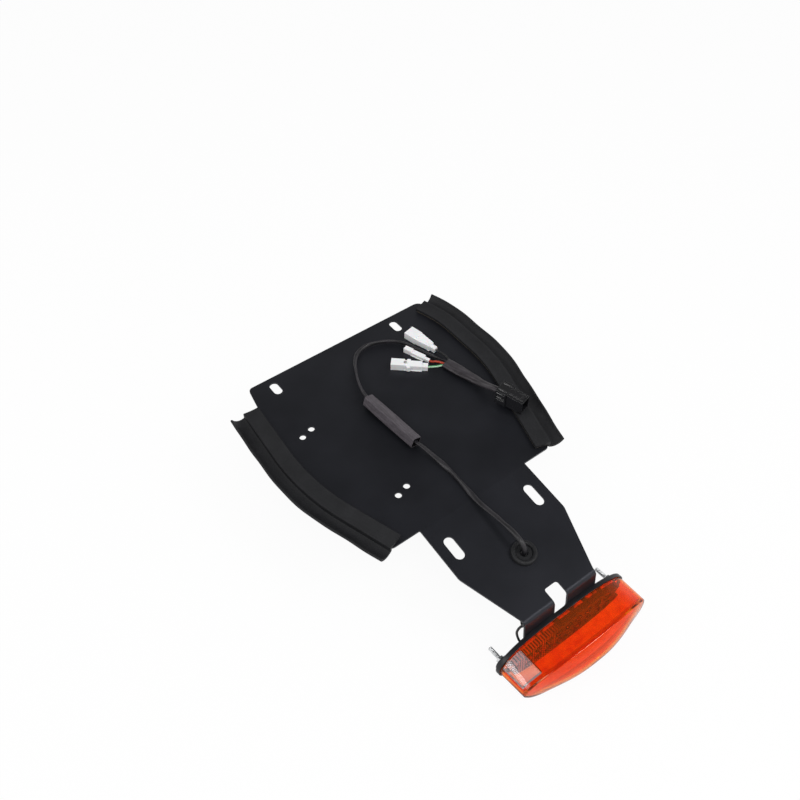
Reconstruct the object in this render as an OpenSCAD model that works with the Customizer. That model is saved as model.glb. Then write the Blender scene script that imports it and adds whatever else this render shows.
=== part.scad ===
// Motorcycle tail tidy: a folded sheet plate that closes the space under the seat,
// with rubber edge seals, a tail lamp on its down-turned flange and the lamp's wiring.
// The origin lies on the sheet's top face, midway between the two front slots.
// +X is the right side, +Y the front of the machine and +Z up. All lengths are in millimetres.

/* [Sheet] */
// Thickness of the plate's sheet
sheet_t = 2; // [1.5:0.5:3]
// From the front slots' line to the front edge
front_margin = 15.2; // [12:0.4:20]
// Where the front edge ends on the left
front_left_x = 98; // [94:1:101]
// Radius of the front left corner
front_left_r = 5; // [2:1:10]
// Radius of the front right corner
front_right_r = 9; // [4:1:12]
// From the front slots' line to the wings' rear edges
wing_reach = 219.3; // [217:0.5:226]
// Radius of the wings' outer rear corners
wing_corner_r = 5; // [2:1:8]
// Radius in the step from wing to neck
step_r = 1; // [0.5:0.5:2]
// Half the width of the neck behind the wings
neck_half = 61.7; // [58:0.5:66]
// Turn of the shallow fold behind the wings, in degrees
fold_angle = 7.6; // [5:0.2:10]
// Radius of the sheet's top face in the shallow fold
fold_r = 20; // [12:1:30]
// Length of the neck before it tapers
neck_run = 53; // [48:1:58]
// Radius where the neck starts to taper
taper_r = 12; // [6:1:18]
// From the shallow fold to the lamp flange's bend
rear_run = 112.2; // [108:0.6:120]
// Turn of the lamp flange's bend, in degrees
bend_angle = 75; // [70:1:80]
// Radius of the sheet's top face in the flange's bend
bend_r = 5; // [4:0.5:7]
// Half the width of the flange
flange_half = 41.6; // [38:0.4:46]

/* [Slots and holes] */
// Spacing of the two front slots
front_slot_gap = 150; // [140:1:156]
// Width of a front slot
front_slot_w = 9; // [7:0.5:10]
// Length of a front slot, along Y
front_slot_l = 17; // [14:0.5:20]
// Spacing of the two rear slots
rear_slot_gap = 93.8; // [86:0.4:98]
// From the shallow fold to the rear slots' middle
rear_slot_at = 27.8; // [24:0.4:34]
// Width of a rear slot
rear_slot_w = 10; // [8:0.5:11]
// Length of a rear slot
rear_slot_l = 24; // [18:1:28]
// Diameter of the four small holes
small_hole_d = 6.5; // [5:0.25:7]
// Distance between the two holes of a pair
pair_gap = 12.7; // [11:0.1:15]
// Distance between the two pairs
pair_pitch = 113.7; // [108:0.3:118]
// Turn of the hole pattern from the X axis, in degrees
pair_turn = 17; // [15:0.2:24]
// Middle of the hole pattern, left of the middle line
pair_mid_x = 64.6; // [62:0.2:68]
// Middle of the hole pattern, behind the front slots
pair_mid_y = 121.6; // [118:0.4:125]
// Width of the notch at the flange's bend
notch_w = 15; // [12:0.5:18]
// From the shallow fold to the notch
notch_at = 101.6; // [98:0.4:105]
// Depth of the notch in the flange
notch_drop = 16.2; // [12:0.2:18]
// Radius of the notch's corners
notch_r = 2.5; // [1:0.5:4]

/* [Edge seals] */
// Width of the seal's band
band_w = 16.2; // [14:0.2:18]
// Thickness of the seal's band
band_t = 3.2; // [2.6:0.2:4]
// Thickness of the web that drops past the sheet's edge
web_t = 2.2; // [1.8:0.1:2.8]
// Depth of the shallow dish in the band's top
dish_depth = 0.5; // [0.2:0.1:0.8]
// Radius of the lip's curve, at the middle of its thickness
lip_r = 10.3; // [9:0.1:11]
// Thickness of the lip
lip_t = 2.2; // [1.6:0.1:2.6]
// From the band's outer edge out to the lip's centre of curvature
lip_out = 4.3; // [3.8:0.1:5]
// Height of the lip's centre of curvature over the sheet
lip_up = 7; // [6:0.2:8]
// Where the lip's curve starts, in degrees below the outward direction
lip_from = 120; // [115:1:125]
// Where the lip's curve ends, in degrees below the outward direction
lip_to = 25; // [15:1:40]
// Thickness of the tape under the band
tape_t = 1.2; // [0.8:0.2:1.6]
// How far the tape lies back from the band's inner edge
tape_inset = 0.6; // [0.2:0.2:1.5]
// Gap between the sheet's edge and the web
web_gap = 0.3; // [0.2:0.1:0.5]

/* [Left seal path] */
// Half width at the band's inner edge where the left seal starts
left_start_x = 103.6; // [102:0.2:106]
// From the front slots back to the left seal's front end
left_start_y = 14.3; // [12:0.3:20]
// Outward lean of the left seal's front run, in degrees
left_lean = 3.5; // [2:0.5:5]
// Length of the left seal's front run
left_run = 64.7; // [58:0.5:70]
// Radius of the left seal's curve, at the band's inner edge
left_r = 225; // [210:5:240]
// Turn of the left seal's curve, in degrees
left_turn = 22; // [20:0.5:24]
// Length of the left seal's rear run
left_tail = 54; // [50:0.5:56]

/* [Right seal path] */
// Half width at the band's inner edge where the right seal starts
right_start_x = 106.2; // [104:0.2:108]
// From the front slots forward to the right seal's front end
right_start_y = 4.5; // [2:0.5:6]
// Outward lean of the right seal's front run, in degrees
right_lean = 17; // [14:0.5:20]
// Length of the right seal's front run
right_run = 12; // [8:0.5:16]
// Radius of the right seal's front curve, at the band's inner edge
right_front_r = 110; // [90:5:130]
// Length of the right seal's middle run
right_mid = 38; // [34:0.5:42]
// Radius of the right seal's rear curve, at the band's inner edge
right_rear_r = 160; // [140:5:180]
// Turn of the right seal's rear curve, in degrees
right_turn = 16.5; // [14:0.5:18]
// Length of the right seal's rear run
right_tail = 94.8; // [90:0.4:98]

/* [Grommet] */
// Outer diameter of the grommet
grommet_d = 24; // [22:0.5:26]
// From the shallow fold to the grommet's middle
grommet_at = 66.6; // [62:0.6:72]
// Diameter of the sheet's hole for the grommet
grommet_hole_d = 17; // [15:0.5:18]
// Height of the grommet's raised ring
grommet_h = 4.6; // [4:0.2:6]
// Radius of the raised ring's section
grommet_bead_r = 2.3; // [2:0.1:2.6]
// Thickness of the grommet's lower flange
grommet_foot = 2.4; // [1.6:0.2:3]
// Gap between the lead and the grommet's bore
grommet_gap = 0.3; // [0.2:0.1:0.5]

/* [Lamp] */
// Half the length of the lamp's base
lamp_half_l = 74.3; // [70:0.3:78]
// Half the height of the lamp's base
lamp_half_h = 21; // [19:0.25:24]
// From the flange's bend down to the lamp's middle
lamp_drop = 32.1; // [31:0.1:34]
// Depth of the base from the flange to its rim
base_d = 4.2; // [3.6:0.2:5]
// Thickness of the base's floor
base_floor = 2.2; // [1.8:0.1:2.8]
// Thickness of the base's rim
base_rim = 1.4; // [1.2:0.1:2]
// Thickness of the gasket under the lens
gasket_t = 0.8; // [0.6:0.1:1.2]
// Width of the gasket
gasket_w = 2.6; // [2:0.1:3]
// Gap between the lens and the base's rim
lens_gap = 0.1; // [0.05:0.05:0.2]
// Wall of the lens
lens_wall = 2.4; // [2:0.1:3]
// Depth of the lens's side wall at its two ends
lens_end_d = 30; // [26:0.5:34]
// How much deeper the side wall is at the middle
lens_ridge_rise = 5; // [3:0.5:7]
// How far the lens's face bulges past its ridge
lens_bulge = 9; // [6:0.5:12]
// How much the side wall leans in at the top and bottom
lens_draft_h = 3.6; // [2:0.2:5]
// How much the side wall leans in at the ends
lens_draft_l = 0.9; // [0.4:0.1:2]
// Length of the clear window in the lens
window_l = 19; // [15:0.5:22]
// From the lamp's middle to the window's inner end
window_from = 52; // [48:0.5:55]
// Depth of the clear window, along the lens's side wall
window_d = 25; // [22:0.5:27]
// Spacing of the two studs
stud_gap = 128.6; // [124:0.2:132]
// Diameter of a stud
stud_d = 4; // [3:1:5]
// Reach of a stud in front of the lamp's base
stud_l = 19; // [15:0.5:25]
// Side of a stud's square head
stud_head = 7; // [6:0.5:8]
// Thickness of a stud's head
stud_head_t = 1.6; // [1.2:0.1:2]
// Radius of the flange's ears round the studs
ear_r = 8; // [7:0.25:9]
// Radius in the corner above an ear
ear_root_r = 3; // [1:0.5:5]
// Outer diameter of a stud's washer
washer_d = 9; // [8:0.5:10]
// Thickness of a stud's washer
washer_t = 0.8; // [0.6:0.1:1]
// Size of a stud's nut across its flats
nut_af = 7; // [6:0.5:8]
// Height of a stud's nut
nut_h = 3.2; // [2.6:0.2:4]
// Gap between a stud and what it passes through
stud_clear = 0.1; // [0.05:0.05:0.2]

/* [Lamp inside] */
// Depth of the inner housing behind the LED board
housing_d = 12; // [10:0.5:14]
// Gap between the inner housing's ribs and the lens
housing_gap = 0.5; // [0.3:0.1:1]
// Number of ribs along the inner housing's top
rib_count = 15; // [9:2:21]
// Spacing of the ribs
rib_pitch = 8.4; // [7:0.2:9]
// Width of a rib
rib_w = 1.4; // [1:0.1:2]
// Height of a rib
rib_h = 0.8; // [0.5:0.1:1]
// Wall of the inner housing
housing_wall = 1.6; // [1.2:0.1:2]
// Thickness of the LED board
board_t = 1.6; // [1.2:0.2:2]
// Half the length of the LED board
board_half_l = 56; // [52:0.5:58]
// Gap between the LED board's long edges and the housing
board_gap = 0.3; // [0.2:0.1:0.5]
// Number of LEDs in a row
led_count = 9; // [7:2:11]
// Spacing of the LEDs in a row
led_pitch = 11.6; // [10:0.2:11.6]
// Spacing of the two rows of LEDs
row_pitch = 11; // [10:0.2:12]
// Diameter of an LED
led_d = 5; // [4:0.5:5]
// Diameter of the cup round an LED, at its mouth
cup_d = 9; // [8:0.25:9.5]

/* [Wiring] */
// Diameter of the lead from the grommet on
lead_d = 5; // [4:0.25:5.5]
// Diameter of the lamp's lead under the plate
lamp_lead_d = 2.2; // [2:0.1:2.6]
// Outer side of the square box sleeve
box_w = 11; // [10:0.25:12]
// Wall of the box sleeve
box_wall = 0.9; // [0.6:0.1:1.2]
// Length of the box sleeve
box_l = 71; // [66:1:76]
// Width of the branch sleeve at its open end
branch_w = 13; // [12:0.25:14]
// Thickness of the branch sleeve at its open end
branch_t = 5; // [4.6:0.1:5.4]
// Diameter of the single wires
wire_d = 2.2; // [1.6:0.1:2.4]

/* [Connectors] */
// Length of the large white connectors
plug_l = 38; // [34:0.5:40]
// Width of the large white connectors
plug_w = 9.4; // [8.5:0.1:10]
// Height of the large white connectors
plug_h = 8; // [7:0.2:9]
// Length of the slim white connector
slim_l = 30; // [28:0.5:32]
// Width and height of the slim white connector
slim_w = 5.6; // [5:0.1:6.2]
// Wall of the connectors' shells
shell_t = 1.1; // [0.8:0.1:1.4]
// Length of the black connector
block_l = 30; // [27:0.5:32]
// Width of the black connector
block_w = 13; // [12:0.25:14]
// Height of the black connector
block_h = 17; // [15:0.5:18]
// Side of a terminal blade
blade_w = 1.8; // [1.2:0.1:2]
// Thickness of a terminal blade
blade_t = 0.8; // [0.6:0.1:1]

/* [Hidden] */
$fn = 64;

// A cut runs this far past the faces it opens
cut = 1;
// Straight steps that stand for a quarter turn at a rounded corner
corner_steps = 8;
// Straight steps along each curve of a seal, and of the sheet's edge beside it
edge_steps = 8;
// Straight steps along the seal's lip and across its dished band
lip_steps = 8;
dish_steps = 4;
tip_steps = 4;
// The taper ends this far before the flange's bend, and the cuts along the sheet lap by as much
seam = 0.5;
// Straight steps that stand for the sheet's shallow fold and for the flange's bend
fold_steps = 4;
bend_steps = 20;
// The sheet's edge lies this far out from the band's inner edge
edge_out = band_w - web_t - web_gap;
// The left wing widens under its seal this far behind the seal's front end
left_shoulder = 2.7;

// Unit vectors of a path: ahead along it, and outward from it, at a heading h.
// A heading of 0 runs to the rear, and a positive one leans outward.
function ahead(h) = [sin(h), -cos(h)];
function outward(h) = [cos(h), sin(h)];
function xy(v) = [v.x, v.y];
function unit(v) = v / norm(v);
function steps(from, to, n) = [for (i = [0:n]) from + (to - from) * i / n];

// A path's state is [x, y, heading] at the band's inner edge
function after_run(s, l) = let (p = xy(s) + l * ahead(s[2])) [p.x, p.y, s[2]];
function arc_middle(s, r) = xy(s) - r * outward(s[2]);
function after_turn(s, r, a) = let (p = arc_middle(s, r) + r * outward(s[2] - a)) [p.x, p.y, s[2] - a];
function edge_point(s, out) = xy(s) + out * outward(s[2]);
function turn_states(s, r, a) = [for (i = [1:edge_steps]) after_turn(s, r, a * i / edge_steps)];
function edge_arc(s, r, a, out) = [for (t = turn_states(s, r, a)) edge_point(t, out)];
// The point of a straight run's outer edge that lies on the line y = -reach
function edge_at_reach(s, out, reach) =
    edge_point(s, out) + (edge_point(s, out).y + reach) / cos(s[2]) * ahead(s[2]);

// The left path is written as a right-hand one and mirrored
left_0 = [left_start_x, -left_start_y, left_lean];
left_1 = after_run(left_0, left_run);
left_2 = after_turn(left_1, left_r, left_turn);
right_0 = [right_start_x, right_start_y, right_lean];
right_1 = after_run(right_0, right_run);
right_2 = after_turn(right_1, right_front_r, right_lean);
right_3 = after_run(right_2, right_mid);
right_4 = after_turn(right_3, right_rear_r, right_turn);

// Rounds a polygon's corners: each point is [x, y, radius]
function corner(p, v, n, r) = let (a = unit(p - v), b = unit(n - v), open = acos(a * b),
    middle = v + unit(a + b) * r / sin(open / 2), from = v + a * r / tan(open / 2) - middle,
    to = v + b * r / tan(open / 2) - middle, turn = 180 - open)
    [for (i = [0:corner_steps]) let (t = i / corner_steps)
        middle + (from * sin((1 - t) * turn) + to * sin(t * turn)) / sin(turn)];
function rounded(points) = let (n = len(points)) [for (i = [0:n - 1]) let (v = points[i])
    each v[2] == 0 ? [xy(v)] : corner(xy(points[(i + n - 1) % n]), xy(v), xy(points[(i + 1) % n]), v[2])];
function plain(points) = [for (p = points) [p.x, p.y, 0]];
function mirrored(points) = [for (i = [len(points) - 1:-1:0]) [-points[i].x, points[i].y, points[i][2]]];

// Outer edge of the right wing, from its front corner to its rear one
right_front_edge = edge_point(right_0, edge_out);
right_front_run = (front_margin - right_front_edge.y) / cos(right_lean);
right_corner = right_front_edge - right_front_run * ahead(right_lean);
right_rear_corner = edge_at_reach(right_4, edge_out, wing_reach);
right_edge = concat([[right_corner.x, right_corner.y, front_right_r]],
    plain(concat([edge_point(right_1, edge_out)], edge_arc(right_1, right_front_r, right_lean, edge_out),
        [edge_point(right_3, edge_out)], edge_arc(right_3, right_rear_r, right_turn, edge_out))),
    [[right_rear_corner.x, right_rear_corner.y, wing_corner_r]]);
left_shoulder_at = after_run(left_0, left_shoulder);
left_rear_corner = edge_at_reach(left_2, edge_out, wing_reach);
left_edge = concat([[front_left_x, front_margin, front_left_r]],
    plain([edge_point(left_0, -web_gap), edge_point(left_shoulder_at, -web_gap),
        edge_point(left_shoulder_at, edge_out), edge_point(left_1, edge_out)]),
    plain(edge_arc(left_1, left_r, left_turn, edge_out)),
    [[left_rear_corner.x, left_rear_corner.y, wing_corner_r]]);
// The front outline runs on past the shallow fold, so that it laps the rear part's
fold_end = wing_reach + fold_r * sin(fold_angle);
neck_side = [[neck_half, -wing_reach, step_r], [neck_half, -fold_end - seam, 0]];
front_outline = rounded(concat(right_edge, neck_side, mirrored(neck_side), mirrored(left_edge)));

// Outline of the rear part, from the end of the shallow fold, and the places of the flange's ears
rear_side = [[neck_half, seam, 0], [neck_half, -neck_run, taper_r], [flange_half, -rear_run + seam, 0],
    [flange_half, -rear_run - seam, 0]];
rear_outline = rounded(concat(rear_side, mirrored(rear_side)));
ear_x = stud_gap / 2;
ear_top = -lamp_drop + ear_r;

// The lamp's outline is a superellipse: a cube along its length, a square across it
lamp_steps = 72;
lamp_power = 2 / 3;
function lamp_point(a, b, t) = [a * sign(cos(t)) * pow(abs(cos(t)), lamp_power), b * sin(t)];
function lamp_outline(inset) = [for (i = [0:lamp_steps - 1])
    lamp_point(lamp_half_l - inset, lamp_half_h - inset, 360 * (i + 0.5) / lamp_steps)];

// The lens's outer surface is a stack of rings. Each is [inset along, inset across, share of the face],
// where a share of 0 is the ridge and 1 the face's middle
lens_front = base_floor + gasket_t;
lens_inset = base_rim + lens_gap;
lens_a = lamp_half_l - lens_inset;
lens_b = lamp_half_h - lens_inset;
ridge_a = lens_a - lens_draft_l;
ridge_b = lens_b - lens_draft_h;
// Depth of the lens's face over a point, for a ring that has shrunk to a share k of the ridge
face_power = 2.5;
function face_fall(x, a) = 1 - pow(min(1, abs(x) / a), face_power);
function face_d(x, k, a) = lens_front + lens_end_d
    + face_fall(x, a) * (lens_ridge_rise + lens_bulge * (1 - k * k));
face_shares = [1, 0.97, 0.9, 0.75, 0.55, 0.3, 0.12];
ridge_round = 1.1;
function side_ring(a, b, q) = [for (i = [0:lamp_steps - 1])
    let (p = lamp_point(a, b, 360 * (i + 0.5) / lamp_steps)) [p.x, p.y, q]];
function face_ring(a, b, k, drop) = [for (i = [0:lamp_steps - 1])
    let (p = k * lamp_point(a, b, 360 * (i + 0.5) / lamp_steps))
    [p.x, p.y, face_d(p.x, k, a) - drop - (k == 1 ? ridge_round : 0)]];
lens_outside = concat([side_ring(lens_a, lens_b, lens_front)],
    [for (k = face_shares) face_ring(ridge_a, ridge_b, k, 0)]);
lens_inside = concat([side_ring(lens_a - lens_wall, lens_b - lens_wall, lens_front)],
    [for (k = face_shares) face_ring(ridge_a - lens_wall, ridge_b - lens_wall, k, lens_wall)]);

// The inner housing and the board stand on the base's floor, and the ribs clear the lens's leaning wall
board_top = base_floor + board_t;
housing_top = board_top + housing_d;
rib_inset = lens_inset + lens_wall + lens_draft_h * (housing_top - lens_front) / lens_end_d + housing_gap;
housing_inset = rib_inset + rib_h;

// Routes of the leads. The lamp's lead meets the harness lead in the grommet, and that one meets the loop
// in the box sleeve
LEAD_ROUTE = [[0, -287.8, -10], [0, -288.2, -7], [0, -288.3, -3.6], [0, -286.8, 0.2], [0, -283.2, 3.4],
    [0, -277, 5.2], [0, -266.6, 5.6], [-0.4, -254, 5], [-1.4, -242, 4.2], [-2.2, -230, 3.4],
    [-2, -217, 2.9], [-1.4, -204, 2.7], [-1, -191, 2.7], [-1.4, -178, 3], [-2.6, -166, 4],
    [-4.6, -155, 5.6], [-7, -144, 7], [-8.6, -132, 7.3], [-9.6, -120, 7.3], [-10.6, -108, 7.3]];
LOOP_ROUTE = [[-10.6, -108, 7.3], [-11.6, -96, 7.3], [-12.5, -84, 7.3], [-12.6, -73, 7.1],
    [-10.6, -60, 6.3], [-6.4, -47, 5.4], [0, -34, 4.6], [7, -22, 3.9], [16, -12.5, 3.4],
    [28, -8.6, 3.1], [40, -10.4, 3],
    [51, -15.2, 3], [60, -22.4, 3], [66.4, -31.6, 3], [70.6, -43, 3], [74.6, -54, 3], [79, -66, 3.1],
    [83.7, -76.5, 3.2]];
LAMP_LEAD_ROUTE = [[-45.5, -339.7, -37.7], [-45.6, -337.4, -38.1], [-46.2, -335.8, -34.6],
    [-47.3, -335.2, -29.4],
    [-47.7, -334.7, -25], [-46.6, -334.4, -21.8], [-43.8, -334.2, -20.6], [-41.2, -333.9, -22.6],
    [-39.6, -332.8, -26.4], [-37.6, -330, -27.6], [-34.6, -325.4, -25], [-30, -319, -22.2],
    [-24, -311.6, -19.6], [-16.6, -303.6, -17.6], [-9.2, -296.8, -16.6], [-3.2, -291, -15.8],
    [-0.4, -287.9, -13.6], [0, -287.8, -10]];
BRANCH_ROUTE = [[82, -77.5, 3.2], [84, -86, 3.4], [86.2, -95.5, 3.6], [88.2, -105, 4.2], [89.8, -114, 5.2],
    [90.8, -122.4, 6.8], [91.3, -130.8, 9.6], [92.3, -139.2, 12.7], [93.9, -145.2, 13.1]];
// Share of the branch sleeve's full width and thickness at each point of its route
BRANCH_WIDTHS = [1, 1.04, 1, 0.9, 0.8, 0.7, 0.62, 0.56, 0.52];
BRANCH_DEPTHS = [1, 1, 0.98, 0.96, 0.96, 0.98, 1, 1, 1];
GREEN_ROUTE = [[63.7, -71.1, 3.4], [66.6, -73.7, 4.2], [70.4, -76.2, 4.4], [74, -77.2, 3.8],
    [76.9, -77.5, 3.2]];
RED_ROUTE = [[71.1, -64.1, 1.9], [72.2, -67.1, 2.4], [73.9, -69.8, 4], [76.7, -73.7, 4.5],
    [80, -77.3, 3.4]];
BLACK_ROUTE = [[85.2, -56.7, 3.2], [86, -60.6, 3.4], [87, -66, 4.2], [87.6, -71.4, 4],
    [87.4, -75.8, 3.2]];

// Places of the box sleeve's front end and of each connector's wire end, with the turn of each
box_at = [-13.4, -73, 7.3];
box_turn = 4.6;
box_roll = 21;
plug_seat = 0.2;
left_plug_at = [63.6, -71];
left_plug_turn = 137.8;
slim_plug_at = [71, -64];
slim_plug_turn = 110.4;
right_plug_at = [85.2, -56.6];
right_plug_turn = 101.7;
block_at = [94, -145.5, 4.6];
block_turn = -74.6;

// Colours of the materials
black_sheet = [0.10, 0.10, 0.11];
black_rubber = [0.14, 0.14, 0.15];
tan_tape = [0.78, 0.68, 0.50];
black_plastic = [0.08, 0.08, 0.09];
lens_orange = [0.92, 0.24, 0.02];
clear_window = [0.90, 0.72, 0.66];
plated_steel = [0.80, 0.80, 0.82];
board_green = [0.12, 0.36, 0.20];
led_yellow = [0.95, 0.85, 0.45];
sleeve_grey = [0.20, 0.19, 0.20];
wire_green = [0.15, 0.62, 0.28];
wire_red = [0.72, 0.12, 0.08];
nylon_white = [0.93, 0.93, 0.92];
brass = [0.80, 0.64, 0.32];

// Frames of the folded sheet: each puts its children past the end of a bend, with the sheet's top face
// at z = 0 and -Y along the sheet
module past_bend(at, r, angle)
    translate([0, -at, -r]) rotate([angle, 0, 0]) translate([0, 0, r]) children();
module on_rear_part() past_bend(wing_reach, fold_r, fold_angle) children();
module on_flange() on_rear_part() past_bend(rear_run, bend_r, bend_angle) children();
module at_lamp() on_flange() translate([0, -lamp_drop, 0]) children();
module at_grommet() on_rear_part() translate([0, -grommet_at, 0]) children();

// Side view of the folded sheet. A point is [y, z], and a slope of 0 runs level to the rear
function down(slope) = [-cos(slope), -sin(slope)];
function square_to(slope) = [-sin(slope), cos(slope)];
fold_middle = [-wing_reach, -fold_r];
bend_middle = fold_middle + (fold_r - bend_r) * square_to(fold_angle) + rear_run * down(fold_angle);
flange_slope = fold_angle + bend_angle;
flange_l = lamp_drop + ear_r;
// One face of the sheet, at a depth under its top face
function face_line(depth) = concat([[front_margin + cut, -depth]],
    [for (a = steps(0, fold_angle, fold_steps)) fold_middle + (fold_r - depth) * square_to(a)],
    [for (a = steps(fold_angle, flange_slope, bend_steps)) bend_middle + (bend_r - depth) * square_to(a)],
    [bend_middle + (bend_r - depth) * square_to(flange_slope) + (flange_l + cut) * down(flange_slope)]);
function backwards(points) = [for (i = [len(points) - 1:-1:0]) points[i]];
strip_half = max([for (p = front_outline) abs(p.x)]) + cut;
module folded_strip() rotate([90, 0, 90]) translate([0, 0, -strip_half]) linear_extrude(2 * strip_half)
    polygon(concat(face_line(0), backwards(face_line(sheet_t))));

module through() translate([0, 0, -sheet_t - cut]) linear_extrude(sheet_t + 2 * cut) children();
module slot(w, l) {
    for (end = [-1, 1]) translate([0, end * (l - w) / 2]) circle(d = w);
    square([w, l - w], center = true);
}
module pair(gap) for (side = [-1, 1]) translate([side * gap / 2, 0]) children();
module small_holes()
    translate([-pair_mid_x, -pair_mid_y]) rotate(pair_turn)
        for (end = [-1, 1]) translate([0, end * pair_pitch / 2]) pair(pair_gap) circle(d = small_hole_d);
// What lies outside an outline, along a stretch of the strip
module outside(from, to) difference() {
    translate([-strip_half - cut, to]) square([2 * (strip_half + cut), from - to]);
    children();
}
// What lies beside the flange's bend
module beside_bend() for (side = [0, 1]) mirror([side, 0])
    translate([flange_half, -bend_r - cut]) square([strip_half + cut - flange_half, bend_r + cut]);

// The flange, with an ear round each stud, drawn from the end of its bend
ear_steps = 16;
flange_side = concat([[flange_half, seam, 0], [flange_half, ear_top, ear_root_r]],
    [for (a = steps(90, -90, ear_steps)) [ear_x + ear_r * cos(a), -lamp_drop + ear_r * sin(a), 0]]);
flange_outline = rounded(concat(flange_side, mirrored(flange_side)));
module outline_cuts() {
    through() outside(front_margin + 2 * cut, -fold_end - seam) polygon(front_outline);
    on_rear_part() through() outside(seam, -rear_run - seam) polygon(rear_outline);
    on_rear_part() translate([0, -rear_run - seam / 2, -bend_r]) linear_extrude(bend_r + cut) beside_bend();
    on_flange() through() outside(seam, -flange_l - 2 * cut) polygon(flange_outline);
}
module hole_cuts() {
    through() pair(front_slot_gap) slot(front_slot_w, front_slot_l);
    through() small_holes();
    on_rear_part() through() translate([0, -rear_slot_at]) pair(rear_slot_gap)
        slot(rear_slot_w, rear_slot_l);
    on_rear_part() through() translate([0, -grommet_at]) circle(d = grommet_hole_d);
    on_flange() through() translate([0, -lamp_drop]) pair(stud_gap) circle(d = stud_d + 2 * stud_clear);
}
// The notch runs from the rear part round the bend and down the flange
module notch() {
    back = rear_run + bend_r + cut;
    half = notch_w / 2;
    on_rear_part() translate([0, 0, -bend_r]) linear_extrude(bend_r + cut)
        polygon(rounded([[half, -notch_at, notch_r], [half, -back, 0], [-half, -back, 0],
            [-half, -notch_at, notch_r]]));
    on_flange() through() polygon(rounded([[half, cut, 0], [half, -notch_drop, notch_r],
        [-half, -notch_drop, notch_r], [-half, cut, 0]]));
}
module tail_plate() color(black_sheet) difference() {
    folded_strip();
    outline_cuts();
    hole_cuts();
    notch();
}

// Carries a closed section along the states of a path: its x is the distance out from the band's inner edge
module swept_section(states, section) {
    n = len(section);
    rows = len(states);
    points = [for (s = states, p = section) let (at = edge_point(s, p.x)) [at.x, at.y, p.y]];
    polyhedron(points, tube_faces(rows, n));
}
function tube_faces(rows, n) = concat(
    [for (k = [0:rows - 2], i = [0:n - 1]) let (j = (i + 1) % n) each [
        [k * n + i, k * n + j, (k + 1) * n + j], [k * n + i, (k + 1) * n + j, (k + 1) * n + i]]],
    [[for (i = [n - 1:-1:0]) i], [for (i = [0:n - 1]) (rows - 1) * n + i]]);
function left_states(inset) = concat([after_run(left_0, inset), left_1],
    turn_states(left_1, left_r, left_turn), [after_run(left_2, left_tail - inset)]);
function right_states(inset) = concat([after_run(right_0, inset), right_1],
    turn_states(right_1, right_front_r, right_lean), [right_3],
    turn_states(right_3, right_rear_r, right_turn), [after_run(right_4, right_tail - inset)]);

// The seal's section: a dished band, a web past the sheet's edge and a lip that curls out and up
lip_middle = [band_w + lip_out, lip_up];
function on_lip(angle, r) = lip_middle + r * [cos(angle), -sin(angle)];
band_top = tape_t + band_t;
// The lip's upper face leaves the web's outer face at this angle
lip_root = acos(-lip_out / (lip_r - lip_t / 2));
seal_section = concat([[0, tape_t], [band_w - web_t, tape_t], [band_w - web_t, on_lip(lip_from, lip_r).y]],
    [for (a = steps(lip_from, lip_to, lip_steps)) on_lip(a, lip_r + lip_t / 2)],
    [for (a = steps(0, 180, tip_steps)) if (a > 0 && a < 180)
        on_lip(lip_to, lip_r) + lip_t / 2 * [cos(a - lip_to), sin(a - lip_to)]],
    [for (a = steps(lip_to, lip_root, lip_steps)) on_lip(a, lip_r - lip_t / 2)],
    [[band_w, band_top]],
    [for (t = steps(0, 1, dish_steps))
        [(1 - t) * (band_w - web_t), band_top - 4 * dish_depth * t * (1 - t)]]);
tape_section = [[tape_inset, 0], [edge_out, 0], [edge_out, tape_t], [tape_inset, tape_t]];

module left_edge_seal() color(black_rubber) mirror([1, 0, 0]) swept_section(left_states(0), seal_section);
module right_edge_seal() color(black_rubber) swept_section(right_states(0), seal_section);
module left_seal_tape() color(tan_tape) mirror([1, 0, 0])
    swept_section(left_states(left_shoulder + tape_inset), tape_section);
module right_seal_tape() color(tan_tape) swept_section(right_states(tape_inset), tape_section);

// A grommet with a raised bead, a dished middle, a neck through the sheet and a foot below it
grommet_bore_r = lead_d / 2 + grommet_gap;
grommet_bead_x = grommet_d / 2 - grommet_bead_r;
grommet_bead_z = grommet_h - grommet_bead_r;
grommet_foot_z = -sheet_t - grommet_foot;
bead_steps = 12;
grommet_section = concat(
    [[grommet_bore_r, grommet_foot_z], [grommet_bead_x, grommet_foot_z], [grommet_bead_x, -sheet_t],
        [grommet_hole_d / 2, -sheet_t], [grommet_hole_d / 2, 0], [grommet_d / 2, 0]],
    [for (a = steps(0, 180, bead_steps))
        [grommet_bead_x, grommet_bead_z] + grommet_bead_r * [cos(a), sin(a)]],
    [[grommet_bore_r + grommet_bead_r / 2, grommet_bead_z], [grommet_bore_r, grommet_bead_z / 2]]);
module cable_grommet() color(black_rubber) at_grommet() rotate_extrude() polygon(grommet_section);

// Base of the lamp: a shallow tray with a rim round the lens and a hole for each stud
module lamp_plate(inset, from, depth) translate([0, 0, from]) linear_extrude(depth)
    polygon(lamp_outline(inset));
module stud_holes(d, from, depth) pair(stud_gap) translate([0, 0, from]) cylinder(d = d, h = depth);
module lamp_base() color(black_plastic) at_lamp() difference() {
    lamp_plate(0, 0, base_d);
    lamp_plate(base_rim, base_floor, base_d);
    stud_holes(stud_d + 2 * stud_clear, -cut, base_floor + 2 * cut);
}
module lamp_gasket() color(black_rubber) at_lamp() difference() {
    lamp_plate(base_rim, base_floor, gasket_t);
    lamp_plate(base_rim + gasket_w, base_floor - cut, gasket_t + 2 * cut);
}
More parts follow.
